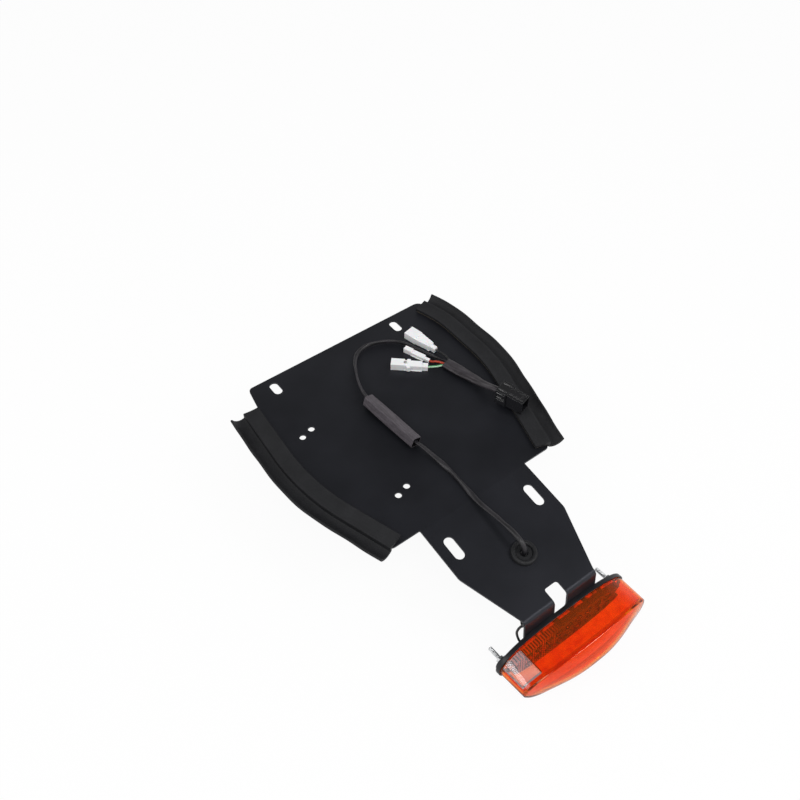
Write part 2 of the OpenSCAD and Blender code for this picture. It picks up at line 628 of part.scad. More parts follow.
// A closed cup whose inner and outer walls are stacks of rings, joined at their front edge
module ring_shell(outside, inside) {
    n = len(outside[0]);
    rows = len(outside);
    points = concat([for (ring = outside) each ring], [for (ring = inside) each ring]);
    in = rows * n;
    polyhedron(points, concat(
        [for (k = [0:rows - 2], i = [0:n - 1]) let (j = (i + 1) % n)
            each [[k * n + i, (k + 1) * n + j, k * n + j], [k * n + i, (k + 1) * n + i, (k + 1) * n + j]]],
        [for (k = [0:rows - 2], i = [0:n - 1]) let (j = (i + 1) % n) each [
            [in + k * n + i, in + k * n + j, in + (k + 1) * n + j],
            [in + k * n + i, in + (k + 1) * n + j, in + (k + 1) * n + i]]],
        [for (i = [0:n - 1]) let (j = (i + 1) % n) each [[i, j, in + j], [i, in + j, in + i]]],
        [[for (i = [n - 1:-1:0]) (rows - 1) * n + i], [for (i = [0:n - 1]) in + (rows - 1) * n + i]]));
}
module lens_shell() ring_shell(lens_outside, lens_inside);
// The block that marks the window's place in the upper wall at the lens's left end
module window_place(gap)
    translate([-window_from - window_l + gap, lens_wall + 2 * gap, lens_front + lens_wall + gap])
        cube([window_l - 2 * gap, lamp_half_h, window_d - 2 * gap]);
module lamp_lens() color(lens_orange) at_lamp() difference() {
    lens_shell();
    window_place(0);
}
module lamp_window() color(clear_window) at_lamp() intersection() {
    lens_shell();
    window_place(lens_gap / 2);
}

// Inner housing: a tray over the board, with a cup for each LED, a clearance for each stud's head
// and ribs along its top
module led_places() for (row = [-1, 1], i = [0:led_count - 1])
    translate([(i - (led_count - 1) / 2) * led_pitch, row * row_pitch / 2]) children();
housing_d_below = housing_top - housing_wall - base_floor;
stud_pocket_d = 2 * stud_head;
module housing_rib(i) {
    at = (i - (rib_count - 1) / 2) * rib_pitch;
    intersection() {
        translate([at - rib_w / 2, 0, base_floor]) cube([rib_w, lamp_half_h, housing_top - base_floor]);
        lamp_plate(rib_inset, 0, housing_top);
    }
}
module lamp_inner_housing() color(black_plastic) at_lamp() difference() {
    union() {
        lamp_plate(housing_inset, base_floor, housing_top - base_floor);
        for (i = [0:rib_count - 1]) housing_rib(i);
    }
    lamp_plate(housing_inset + housing_wall, base_floor - cut, housing_d_below + cut);
    led_places() translate([0, 0, base_floor]) cylinder(d = cup_d, h = housing_top);
    stud_holes(stud_pocket_d, base_floor - cut, housing_top);
}
module lamp_led_board() color(board_green) at_lamp() intersection() {
    lamp_plate(housing_inset + housing_wall + board_gap, base_floor, board_t);
    translate([-board_half_l, -lamp_half_h, base_floor]) cube([2 * board_half_l, 2 * lamp_half_h, board_t]);
}
led_foot = 1;
led_body = 5;
module lamp_leds() color(led_yellow) at_lamp() led_places() translate([0, 0, board_top]) {
    cylinder(d = led_d + led_foot, h = led_foot);
    cylinder(d = led_d, h = led_body);
    translate([0, 0, led_body]) sphere(d = led_d);
}
module lamp_studs() color(plated_steel) at_lamp() pair(stud_gap) {
    translate([0, 0, -stud_l]) cylinder(d = stud_d, h = stud_l + base_floor + stud_head_t / 2);
    translate([-stud_head / 2, -stud_head / 2, base_floor]) cube([stud_head, stud_head, stud_head_t]);
}
module stud_washers() color(plated_steel) at_lamp() pair(stud_gap)
    translate([0, 0, -sheet_t - washer_t]) difference() {
        cylinder(d = washer_d, h = washer_t);
        translate([0, 0, -cut]) cylinder(d = stud_d + 2 * stud_clear, h = washer_t + 2 * cut);
    }
module stud_nuts() color(plated_steel) at_lamp() pair(stud_gap)
    translate([0, 0, -sheet_t - washer_t - nut_h]) difference() {
        cylinder(d = nut_af / cos(30), h = nut_h, $fn = 6);
        translate([0, 0, -cut]) cylinder(d = stud_d + stud_clear, h = nut_h + 2 * cut);
    }

// Leads: a ring of points at each point of the route, square to the way the lead runs there
function route_ways(p) = let (n = len(p))
    [for (i = [0:n - 1]) unit(p[min(i + 1, n - 1)] - p[max(i - 1, 0)])];
function ring_sides(ways, k, side) = k == len(ways) ? []
    : let (s = unit(side - (side * ways[k]) * ways[k])) concat([s], ring_sides(ways, k + 1, s));
module swept(route, half_w, half_t, first_side, sides) {
    ways = route_ways(route);
    across = ring_sides(ways, 0, first_side);
    rows = len(route);
    points = [for (k = [0:rows - 1], i = [0:sides - 1]) let (a = 360 * (i + 0.5) / sides)
        route[k] + half_w[k] * cos(a) * across[k] + half_t[k] * sin(a) * cross(ways[k], across[k])];
    polyhedron(points, tube_faces(rows, sides));
}
wire_sides = 8;
lead_sides = 10;
module lead(route, d, first_side) {
    r = [for (p = route) d / 2];
    swept(route, r, r, first_side, d < lead_d ? wire_sides : lead_sides);
}
module lamp_lead() color(black_plastic) lead(LAMP_LEAD_ROUTE, lamp_lead_d, [1, 0, 0]);
module harness_lead() color(sleeve_grey) lead(LEAD_ROUTE, lead_d, [1, 0, 0]);
module loop_lead() color(sleeve_grey) lead(LOOP_ROUTE, lead_d, [1, 0, 0]);
module green_wire() color(wire_green) lead(GREEN_ROUTE, wire_d, [0, 1, 0]);
module red_wire() color(wire_red) lead(RED_ROUTE, wire_d, [1, 0, 0]);
module black_wire() color(black_plastic) lead(BLACK_ROUTE, wire_d, [1, 0, 0]);
branch_sides = 12;
module branch_sleeve() color(sleeve_grey) swept(BRANCH_ROUTE, BRANCH_WIDTHS * branch_w / 2,
    BRANCH_DEPTHS * branch_t / 2, [1, 0, 0], branch_sides);
module box_sleeve() color(sleeve_grey) translate(box_at) rotate([0, 0, box_turn]) rotate([0, box_roll, 0])
    rotate([90, 0, 0]) linear_extrude(box_l) difference() {
        square(box_w, center = true);
        square(box_w - 2 * box_wall, center = true);
    }

// White connectors: from the wire end at x = 0 to the open mouth, lying on z = 0
module shell_block(from, to, w, h) translate([from, -w / 2, 0]) cube([to - from, w, h]);
module white_shell(l, w, h, head_l, head_w, tail_l) difference() {
    lock_w = w / 3;
    tail_w = w - 2 * shell_t;
    rib = shell_t / 2;
    union() {
        shell_block(0, tail_l, tail_w, h - 2 * shell_t);
        shell_block(tail_l, l - head_l, w, h - shell_t);
        shell_block(l - head_l, l, head_w, h);
        translate([l - head_l - lock_w, -lock_w / 2, h - shell_t]) cube([head_l, lock_w, shell_t]);
        for (side = [-1, 1]) translate([tail_l, side * w / 2 - rib, 0])
            cube([l - head_l - tail_l, 2 * rib, rib * 2]);
    }
    translate([l - head_l + shell_t, -head_w / 2 + shell_t, shell_t])
        cube([head_l, head_w - 2 * shell_t, h - 2 * shell_t]);
    translate([tail_l + shell_t, -w / 2 + shell_t, shell_t])
        cube([l, w - 2 * shell_t, h - 3 * shell_t]);
}
plug_head = 14;
plug_tail = 6;
slim_head = 9;
right_plug_head_w = plug_w + 3.4;
module plug_place(at, turn) translate([at.x, at.y, plug_seat]) rotate([0, 0, turn]) children();
module left_white_connector() color(nylon_white) plug_place(left_plug_at, left_plug_turn)
    white_shell(plug_l, plug_w - shell_t, plug_h, plug_head, plug_w, plug_tail);
module right_white_connector() color(nylon_white) plug_place(right_plug_at, right_plug_turn)
    white_shell(plug_l, plug_w - 2 * shell_t, plug_h, plug_head, right_plug_head_w, plug_tail);
module slim_white_connector() color(nylon_white) plug_place(slim_plug_at, slim_plug_turn)
    white_shell(slim_l, slim_w, slim_w, slim_head, slim_w, plug_tail);
// The blades stand this far past the shell's step, and this far off its middle line
blade_reach = 3;
blade_spread = 1.5;
module blade(l, tail_l, z) translate([tail_l + shell_t, -blade_w / 2, z])
    cube([l - tail_l - shell_t + blade_reach, blade_w, blade_t]);
module blade_pair() for (side = [-1, 1]) translate([0, side * blade_spread, 0])
    blade(plug_l - plug_head, plug_tail, shell_t);
module white_terminals() color(brass) {
    plug_place(left_plug_at, left_plug_turn) blade_pair();
    plug_place(right_plug_at, right_plug_turn) blade_pair();
    plug_place(slim_plug_at, slim_plug_turn) blade(slim_l - slim_head, plug_tail, shell_t);
}

// Black connector: a wider wire end, a deep mouth and a latch bridge on its top
block_cap_l = 12;
block_cap_w = block_w + 3;
block_wall = 1.4;
block_core_l = 8;
pin_columns = 3;
pin_l = 9;
module block_place() translate(block_at) rotate([0, 0, block_turn]) children();
module main_connector() color(black_plastic) block_place() difference() {
    union() {
        shell_block(0, block_cap_l, block_cap_w, block_h);
        shell_block(block_cap_l, block_l, block_w, block_h - block_wall);
        for (side = [-1, 1])
            translate([block_cap_l, side * block_w / 4 - block_wall / 2, block_h - block_wall])
                cube([block_l - block_cap_l - block_wall, block_wall, block_wall]);
    }
    translate([block_core_l, -block_w / 2 + block_wall, block_wall])
        cube([block_l, block_w - 2 * block_wall, block_h - 3 * block_wall]);
    for (side = [-1, 1]) translate([block_wall, side * block_cap_w / 2 - block_wall / 2, block_h / 3])
        cube([block_cap_l - 2 * block_wall, block_wall, block_h / 3]);
}
latch_w = 5;
latch_t = 1.2;
module main_connector_latch() color(black_plastic) block_place()
    translate([block_cap_l - latch_t, -latch_w / 2, block_h - block_wall]) {
        translate([latch_t, 0, 0]) cube([block_l - block_cap_l - 2 * latch_t, latch_w, latch_t]);
        translate([block_l - block_cap_l - 3 * latch_t, 0, 0]) cube([latch_t, latch_w, 2 * latch_t]);
    }
pin_pitch = block_w / (pin_columns + 1);
pin_rise = block_h / 5;
module main_terminals() color(brass) block_place()
    for (column = [0:pin_columns - 1], row = [-1, 1])
        translate([block_core_l, (column - (pin_columns - 1) / 2) * pin_pitch - blade_w / 2,
            block_h / 2 - block_wall + row * pin_rise - blade_t / 2])
            cube([pin_l, blade_w, blade_t]);

tail_plate();
left_edge_seal();
right_edge_seal();
left_seal_tape();
right_seal_tape();
cable_grommet();
lamp_base();
lamp_gasket();
lamp_inner_housing();
lamp_led_board();
lamp_leds();
lamp_lens();
lamp_window();
lamp_studs();
stud_washers();
stud_nuts();
lamp_lead();
harness_lead();
box_sleeve();
loop_lead();
branch_sleeve();
green_wire();
red_wire();
black_wire();
left_white_connector();
slim_white_connector();
right_white_connector();
white_terminals();
main_connector();
main_connector_latch();
main_terminals();
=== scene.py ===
"""Looks of a motorcycle tail tidy: a folded black plate with rubber edge seals, a tail lamp and its wiring.

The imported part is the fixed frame, in metres. The sizes of the object's pieces are written here in
millimetres, as they are in its source, and MM turns them into metres when a mesh is made.
"""
import functools
import logging
import math
from dataclasses import dataclass, field
from enum import Enum
from typing import Any, Optional, Sequence, Union

import bmesh
import bpy
import numpy as np
from mathutils import Euler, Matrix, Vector


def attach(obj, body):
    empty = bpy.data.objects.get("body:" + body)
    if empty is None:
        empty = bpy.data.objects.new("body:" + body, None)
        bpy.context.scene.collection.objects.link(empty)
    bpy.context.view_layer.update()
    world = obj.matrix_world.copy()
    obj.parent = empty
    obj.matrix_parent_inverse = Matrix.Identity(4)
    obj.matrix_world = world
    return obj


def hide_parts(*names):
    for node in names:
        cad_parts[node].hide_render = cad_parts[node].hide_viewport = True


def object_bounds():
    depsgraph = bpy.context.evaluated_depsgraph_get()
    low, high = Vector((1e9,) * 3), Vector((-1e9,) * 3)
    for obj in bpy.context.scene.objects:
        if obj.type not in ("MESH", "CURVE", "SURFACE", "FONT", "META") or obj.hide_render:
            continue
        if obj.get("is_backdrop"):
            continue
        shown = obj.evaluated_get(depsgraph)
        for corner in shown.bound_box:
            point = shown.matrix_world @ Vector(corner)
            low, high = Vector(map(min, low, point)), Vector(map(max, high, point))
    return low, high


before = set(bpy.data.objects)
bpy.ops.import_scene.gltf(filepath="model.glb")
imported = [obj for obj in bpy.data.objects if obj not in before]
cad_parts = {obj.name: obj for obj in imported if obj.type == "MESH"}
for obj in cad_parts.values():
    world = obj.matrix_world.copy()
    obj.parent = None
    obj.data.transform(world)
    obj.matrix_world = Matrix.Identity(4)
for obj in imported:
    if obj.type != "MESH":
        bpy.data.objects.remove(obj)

log = logging.getLogger("tail_tidy")
MM = 0.001
BODY = "root"
# A ramp reads 0 to 1, so a short length in metres is multiplied by this before a ramp reads it
SPREAD = 100.0
Array = np.ndarray
Color = tuple[float, float, float]
Link = Union[bpy.types.NodeSocket, "Value"]


class Pattern(Enum):
    """The coordinates that a finish's pattern follows."""

    OBJECT = "object"
    WRAP = "wrap"


@dataclass(frozen=True)
class Value:
    """A number's socket in a shader. Arithmetic on it adds Math nodes."""

    tree: bpy.types.NodeTree
    socket: bpy.types.NodeSocket

    def _math(self, operation: str, first: Any, second: Any) -> "Value":
        """Adds a Math node.

        Args:
            operation: The Math node's operation.
            first: The first number or value.
            second: The second number or value.

        Returns:
            The node's result.
        """
        node = self.tree.nodes.new("ShaderNodeMath")
        node.operation = operation
        for index, term in enumerate((first, second)):
            if isinstance(term, Value):
                self.tree.links.new(term.socket, node.inputs[index])
            else:
                node.inputs[index].default_value = term
        return Value(self.tree, node.outputs[0])

    def __add__(self, other: Any) -> "Value":
        """Adds a number or a value."""
        return self._math("ADD", self, other)

    def __radd__(self, other: Any) -> "Value":
        """Adds this value to a number."""
        return self._math("ADD", other, self)

    def __sub__(self, other: Any) -> "Value":
        """Takes a number or a value away."""
        return self._math("SUBTRACT", self, other)

    def __rsub__(self, other: Any) -> "Value":
        """Takes this value away from a number."""
        return self._math("SUBTRACT", other, self)

    def __mul__(self, other: Any) -> "Value":
        """Multiplies by a number or a value."""
        return self._math("MULTIPLY", self, other)

    def __rmul__(self, other: Any) -> "Value":
        """Multiplies a number by this value."""
        return self._math("MULTIPLY", other, self)

    def larger(self, other: Any) -> "Value":
        """The larger of this and another."""
        return self._math("MAXIMUM", self, other)

    def sine(self) -> "Value":
        """The sine of this value in radians."""
        return self._math("SINE", self, 0.0)

    def size(self) -> "Value":
        """This value without its sign."""
        return self._math("ABSOLUTE", self, 0.0)


class Painter:
    """Builds the nodes of one material, or of the surround."""

    def __init__(self, name: str, surround: bool = False) -> None:
        """Starts an empty material, or the scene's empty surround.

        Args:
            name: Its name.
            surround: Whether it is the surround.
        """
        self.made = (bpy.data.worlds if surround else bpy.data.materials).new(name)
        self.made.use_nodes = True
        self.tree = self.made.node_tree
        self.tree.nodes.clear()

    def node(self, kind: str, settings: Optional[dict] = None,
             inputs: Optional[dict] = None) -> bpy.types.Node:
        """Adds a node.

        Args:
            kind: The node's type.
            settings: Its properties. "stops" is a list of (position, number or colour) for a ramp.
            inputs: Numbers, colours or links by socket name or index.

        Returns:
            The node.
        """
        node = self.tree.nodes.new(kind)
        for key, setting in (settings or {}).items():
            if key == "stops":
                self._set_stops(node, setting)
            else:
                setattr(node, key, setting)
        for key, entry in (inputs or {}).items():
            self._feed(node.inputs[key], entry)
        return node

    def _set_stops(self, node: bpy.types.Node, stops: Sequence[tuple]) -> None:
        """Sets a ramp's stops.

        Args:
            node: The ramp.
            stops: A position and a number or colour for each stop.
        """
        elements = node.color_ramp.elements
        while len(elements) < len(stops):
            elements.new(1.0)
        for element, (position, level) in zip(elements, stops):
            element.position = position
            element.color = (*(level if isinstance(level, tuple) else (level,) * 3), 1.0)

    def _feed(self, socket: bpy.types.NodeSocket, entry: Any) -> None:
        """Links or sets one socket.

        Args:
            socket: The socket to feed.
            entry: A value, a socket, a number or a colour.
        """
        if isinstance(entry, Value):
            self.tree.links.new(entry.socket, socket)
        elif isinstance(entry, bpy.types.NodeSocket):
            self.tree.links.new(entry, socket)
        elif isinstance(entry, tuple) and socket.type == "RGBA" and len(entry) == 3:
            socket.default_value = (*entry, 1.0)
        else:
            socket.default_value = entry

    def coordinates(self, pattern: Pattern, stretch: Color = (1.0, 1.0, 1.0)) -> bpy.types.NodeSocket:
        """Gives the pattern's coordinates, stretched along each axis.

        Args:
            pattern: What the pattern follows.
            stretch: A factor for each axis.

        Returns:
            The vector's socket.
        """
        if pattern is Pattern.WRAP:
            source = self.node("ShaderNodeAttribute", {"attribute_name": "wrap"}).outputs["Vector"]
        else:
            source = self.node("ShaderNodeTexCoord").outputs["Object"]
        return self.node("ShaderNodeMapping", {}, {"Vector": source, "Scale": stretch}).outputs[0]

    def axis(self, pattern: Pattern, index: int) -> Value:
        """One of the pattern's coordinates: for a swept piece, 2 is the distance along it, in metres."""
        split = self.node("ShaderNodeSeparateXYZ", {}, {0: self.coordinates(pattern)})
        return Value(self.tree, split.outputs[index])

    def noise(self, vector: bpy.types.NodeSocket, size: float, detail: float = 2.0,
              rough: float = 0.5) -> Value:
        """Soft noise from 0 to 1.

        Args:
            vector: Where the noise is read.
            size: The size of its lumps, in metres.
            detail: Its octaves.
            rough: The share of each finer octave.

        Returns:
            The noise.
        """
        inputs = {"Vector": vector, "Scale": 1.0 / size, "Detail": detail, "Roughness": rough}
        return Value(self.tree, self.node("ShaderNodeTexNoise", {}, inputs).outputs[0])

    def cells(self, vector: bpy.types.NodeSocket, size: float) -> Value:
        """Distance from the middle of random cells.

        Args:
            vector: Where the cells are read.
            size: The size of a cell, in metres.

        Returns:
            The distance, near 0 in a cell's middle.
        """
        inputs = {"Vector": vector, "Scale": 1.0 / size}
        return Value(self.tree, self.node("ShaderNodeTexVoronoi", {}, inputs).outputs[0])

    def ramp(self, factor: Value, stops: Sequence[tuple]) -> bpy.types.NodeSocket:
        """Turns a value into a colour or another level.

        Args:
            factor: The value.
            stops: A position and a number or colour for each stop.

        Returns:
            The ramp's colour socket.
        """
        return self.node("ShaderNodeValToRGB", {"stops": stops}, {0: factor}).outputs[0]

    def level(self, factor: Value, stops: Sequence[tuple]) -> Value:
        """The same as ramp, as a number."""
        gray = self.node("ShaderNodeRGBToBW", {}, {0: self.ramp(factor, stops)})
        return Value(self.tree, gray.outputs[0])

    def mix(self, factor: Link, first: Any, second: Any) -> bpy.types.NodeSocket:
        """Mixes two colours.

        Args:
            factor: 0 for the first, 1 for the second.
            first: A colour or its socket.
            second: A colour or its socket.

        Returns:
            The mixed colour's socket.
        """
        node = self.node("ShaderNodeMix", {"data_type": "RGBA"}, {0: factor, 6: first, 7: second})
        return node.outputs[2]

    def bump(self, height: Value, depth: float, strength: float = 1.0) -> bpy.types.NodeSocket:
        """Turns a height into a normal.

        Args:
            height: The height, from 0 to 1.
            depth: What a height of 1 stands for, in metres.
            strength: How much of the effect is kept.

        Returns:
            The normal's socket.
        """
        inputs = {"Height": height, "Distance": depth, "Strength": strength}
        return self.node("ShaderNodeBump", {}, inputs).outputs[0]

    def surface(self, **sockets: Any) -> bpy.types.Material:
        """Ends the material with a Principled shader.

        Args:
            sockets: Its sockets, with underscores for spaces.

        Returns:
            The finished material.
        """
        named = {key.replace("_", " "): entry for key, entry in sockets.items()}
        return self.ended(self.node("ShaderNodeBsdfPrincipled", {}, named))

    def ended(self, shader: bpy.types.Node, output: str = "ShaderNodeOutputMaterial") -> Any:
        """Links the last shader to an output, and gives the material or surround."""
        self.tree.links.new(shader.outputs[0], self.node(output).inputs[0])
        return self.made


@dataclass(frozen=True)
class SatinCoat:
    """Powder coat: a dark satin film with a fine grain and a few pale specks of dust."""

    name: str = "satin_coat"
    dark: Color = (0.0044, 0.0047, 0.0062)
    pale: Color = (0.0072, 0.0076, 0.0100)
    roughness: float = 0.40
    grain: float = 0.0009
    grain_depth: float = 0.00004
    specular: float = 0.46
    tint: Color = (0.86, 0.88, 1.0)
    cloud: float = 0.06
    dust: Color = (0.09, 0.095, 0.10)
    dust_gap: float = 0.011
    dust_patch: float = 0.019

    def paint(self) -> bpy.types.Material:
        """Builds the material.

        Returns:
            The material.
        """
        p = Painter(self.name)
        where = p.coordinates(Pattern.OBJECT)
        cloud = p.noise(where, self.cloud, 3.0)
        grain = p.noise(where, self.grain, 2.0)
        speck = p.level(p.cells(where, self.dust_gap), [(0.0, 1.0), (0.022, 1.0), (0.034, 0.0)])
        speck = speck * p.level(p.noise(where, self.dust_patch), [(0.60, 0.0), (0.66, 1.0)])
        body = p.mix(p.level(cloud, [(0.35, 0.0), (0.65, 1.0)]), self.dark, self.pale)
        color = p.mix(speck * 0.45, body, self.dust)
        roughness = self.roughness - 0.05 + 0.10 * cloud + 0.05 * grain
        return p.surface(Base_Color=color, Roughness=roughness, Specular_IOR_Level=self.specular,
                         Specular_Tint=self.tint, Normal=p.bump(grain, self.grain_depth))


@dataclass(frozen=True)
class Rubber:
    """Black rubber: matt, with streaks along an extrusion or an even skin on a moulding."""

    name: str = "edge_rubber"
    pattern: Pattern = Pattern.WRAP
    dark: Color = (0.0074, 0.0076, 0.0090)
    pale: Color = (0.0156, 0.0160, 0.0182)
    roughness: float = 0.62
    streak: float = 0.0016
    streak_run: float = 0.06
    depth: float = 0.00006
    specular: float = 0.32
    bloom: float = 0.018
    skin: float = 0.0005
    scuff: float = 0.004

    def paint(self) -> bpy.types.Material:
        """Builds the material.

        Returns:
            The material.
        """
        p = Painter(self.name)
        run = self.streak / self.streak_run if self.pattern is Pattern.WRAP else 1.0
        streaks = p.noise(p.coordinates(self.pattern, (1.0, 1.0, run)), self.streak, 3.0, 0.6)
        where = p.coordinates(self.pattern)
        bloom = p.noise(where, self.bloom, 4.0, 0.6)
        skin = p.noise(where, self.skin, 1.0)
        scuff = p.level(p.noise(p.coordinates(self.pattern, (1.0, 1.0, 0.4)), self.scuff, 5.0, 0.7),
                        [(0.62, 0.0), (0.78, 1.0)])
        tone = 0.55 * p.level(bloom, [(0.35, 0.0), (0.7, 1.0)]) + 0.3 * streaks + 0.25 * scuff
        color = p.mix(tone, self.dark, self.pale)
        roughness = self.roughness + 0.10 * bloom - 0.08 * streaks
        height = 0.65 * streaks + 0.2 * skin + 0.15 * bloom
        return p.surface(Base_Color=color, Roughness=roughness, Specular_IOR_Level=self.specular,
                         Normal=p.bump(height, self.depth))


@dataclass(frozen=True)
class Moulding:
    """Moulded plastic: an even colour with a fine skin and slight flow marks."""

    name: str
    color: Color
    roughness: float = 0.4
    vary: float = 0.15
    skin: float = 0.0004
    depth: float = 0.00001
    specular: float = 0.5
    subsurface: float = 0.0
    coat: float = 0.0
    flow: float = 0.008

    def paint(self) -> bpy.types.Material:
        """Builds the material.

        Returns:
            The material.
        """
        p = Painter(self.name)
        where = p.coordinates(Pattern.OBJECT)
        flow = p.noise(p.coordinates(Pattern.OBJECT, (1.0, 0.35, 1.0)), self.flow, 3.0)
        skin = p.noise(where, self.skin, 2.0)
        shade = tuple(channel * (1.0 - self.vary) for channel in self.color)
        color = p.mix(p.level(flow, [(0.3, 0.0), (0.7, 1.0)]), shade, self.color)
        return p.surface(Base_Color=color, Roughness=self.roughness - 0.04 + 0.08 * flow,
                         Specular_IOR_Level=self.specular, Subsurface_Weight=self.subsurface,
                         Subsurface_Scale=0.002, Coat_Weight=self.coat, Coat_Roughness=0.08,
                         Normal=p.bump(skin, self.depth))


@dataclass(frozen=True)
class ClearPlastic:
    """Dyed clear plastic, with faint flow streaks and moulding haze."""

    name: str
    color: Color
    deep: Color
    transmission: float
    roughness: float = 0.06
    ior: float = 1.46
    streak: float = 0.005
    haze: float = 0.012
    depth: float = 0.00006

    def paint(self) -> bpy.types.Material:
        """Builds the material.

        Returns:
            The material.
        """
        p = Painter(self.name)
        where = p.coordinates(Pattern.OBJECT)
        streak = p.noise(p.coordinates(Pattern.OBJECT, (0.3, 1.0, 1.0)), self.streak, 4.0, 0.6)
        haze = p.noise(where, self.haze, 3.0)
        color = p.mix(p.level(streak, [(0.40, 0.0), (0.70, 1.0)]), self.color, self.deep)
        return p.surface(Base_Color=color, Roughness=self.roughness + 0.10 * haze,
                         Transmission_Weight=self.transmission, IOR=self.ior,
                         Specular_IOR_Level=0.5, Normal=p.bump(streak, self.depth))


@dataclass(frozen=True)
class LensPlastic:
    """Orange lens plastic: mottled and fluted on its walls, with a painted dark shade line along its ridge
    and its face painted paler as painted light.
    """

    name: str = "orange_lens"
    wall: Color = (1.0, 0.20, 0.001)
    deep: Color = (0.84, 0.095, 0.0005)
    # The face colour is painted light, paler than the wall; the ridge colour is a painted shade line.
    face: Color = (1.0, 0.22, 0.002)
    ridge: Color = (0.36, 0.020, 0.001)
    transmission: float = 0.93
    ior: float = 1.42
    flute: float = 0.0013
    mottle: float = 0.007
    streak: float = 0.0022
    depth: float = 0.00002

    def paint(self) -> bpy.types.Material:
        """Builds the material.

        The second wrap coordinate is 0 at the base, 1 at the ridge and 2 in the middle. A ramp reads a
        place less 0.5, or half of it, so that it stays between 0 and 1.

        Returns:
            The material.
        """
        p = Painter(self.name)
        place = p.axis(Pattern.WRAP, 1)
        mottle = p.noise(p.coordinates(Pattern.OBJECT), self.mottle, 4.0, 0.65)
        streak = p.noise(p.coordinates(Pattern.OBJECT, (1.0, 0.3, 0.3)), self.streak, 3.0)
        flutes = 0.5 + 0.5 * (p.axis(Pattern.OBJECT, 0) * (2 * math.pi / self.flute)).sine()
        left = p.level(p.axis(Pattern.OBJECT, 0) + 0.5, [(0.47, 1.0), (0.515, 0.15)])
        shade = p.level(0.6 * mottle + 0.25 * streak + 0.15 * flutes * left, [(0.38, 0.0), (0.58, 1.0)])
        shade = shade * p.level(0.5 * place, [(0.16, 0.15), (0.26, 1.0)])
        walls = p.mix(shade, self.wall, self.deep)
        # Painted light: the face is painted paler than the walls.
        faces = p.mix(shade * 0.4, self.face, self.wall)
        color = p.mix(p.level(place - 0.5, [(0.51, 0.0), (0.53, 1.0)]), walls, faces)
        # Painted shade: a dark line painted along the ridge.
        line = p.level((place - 1.0).size(), [(0.0, 1.0), (0.010, 1.0), (0.034, 0.0)])
        color = p.mix(line * 0.75, color, self.ridge)
        height = 0.5 * streak + 0.5 * flutes * left
        return p.surface(Base_Color=color, Roughness=0.035 + 0.05 * mottle,
                         Transmission_Weight=self.transmission, IOR=self.ior,
                         Normal=p.bump(height, self.depth))


@dataclass(frozen=True)
class RibbedHousing:
    """The lamp's inner housing: dark, with fine ribs over a red ground on its left that fade to brown; the
    red and the brown are painted light seen through the lens.
    """

    name: str = "inner_housing"
    rib: Color = (0.012, 0.009, 0.011)
    # The red ground and the brown are painted light, seen through the lens.
    ground: Color = (0.60, 0.18, 0.12)
    brown: Color = (0.070, 0.045, 0.045)
    gleam: Color = (1.0, 0.30, 0.12)
    pitch: float = 0.0027
    rib_depth: float = 0.0003
    cloud: float = 0.006
    patch: float = 0.009

    def paint(self) -> bpy.types.Material:
        """Builds the material.

        The ribs are where a sine along X is above 0. The second wrap coordinate is the height over the
        board, and the foot below 0.0011 gleams where light gets in under the rim. A ramp along X reads it
        plus 0.5.

        Returns:
            The material.
        """
        p = Painter(self.name)
        x = p.axis(Pattern.OBJECT, 0)
        ribs = p.level(0.5 + 0.5 * (x * (2 * math.pi / self.pitch)).sine(), [(0.40, 0.0), (0.60, 1.0)])
        fade = p.level(x + 0.5, [(0.470, 1.0), (0.492, 0.0)])
        rest = p.level(x + 0.5, [(0.47, 0.15), (0.50, 0.2), (0.56, 1.0)])
        cloud = p.noise(p.coordinates(Pattern.OBJECT), self.cloud, 3.0)
        # Painted light: lighter brown towards the housing's right end.
        base = p.mix(rest * (0.8 + 0.4 * cloud), self.rib, self.brown)
        # Painted light: a red glow painted between the ribs on the left.
        color = p.mix(fade * (1.0 - ribs) * 0.9, base, self.ground)
        foot = p.level(p.axis(Pattern.WRAP, 1) * SPREAD, [(0.10, 1.0), (0.13, 0.0)])
        patches = p.noise(p.coordinates(Pattern.OBJECT, (1.0, 0.2, 0.2)), self.patch, 2.0)
        breaks = p.level(patches, [(0.42, 0.0), (0.48, 1.0)])
        color = p.mix(foot * breaks, color, self.gleam)
        return p.surface(Base_Color=color, Roughness=0.42 + 0.1 * cloud,
                         Normal=p.bump(ribs * fade, self.rib_depth))


@dataclass(frozen=True)
class Plating:
    """Bright plate with fine drawing marks and slight dulling."""

    name: str
    color: Color
    roughness: float = 0.18
    dulling: float = 0.003
    mark: float = 0.0003
    mark_depth: float = 0.000006

    def paint(self) -> bpy.types.Material:
        """Builds the material.

        Returns:
            The material.
        """
        p = Painter(self.name)
        where = p.coordinates(Pattern.OBJECT)
        dull = p.noise(where, self.dulling, 4.0, 0.6)
        marks = p.noise(where, self.mark, 2.0)
        shade = tuple(channel * 0.72 for channel in self.color)
        color = p.mix(p.level(dull, [(0.4, 0.0), (0.75, 1.0)]), self.color, shade)
        return p.surface(Base_Color=color, Metallic=1.0, Roughness=self.roughness + 0.16 * dull,
                         Normal=p.bump(marks, self.mark_depth))


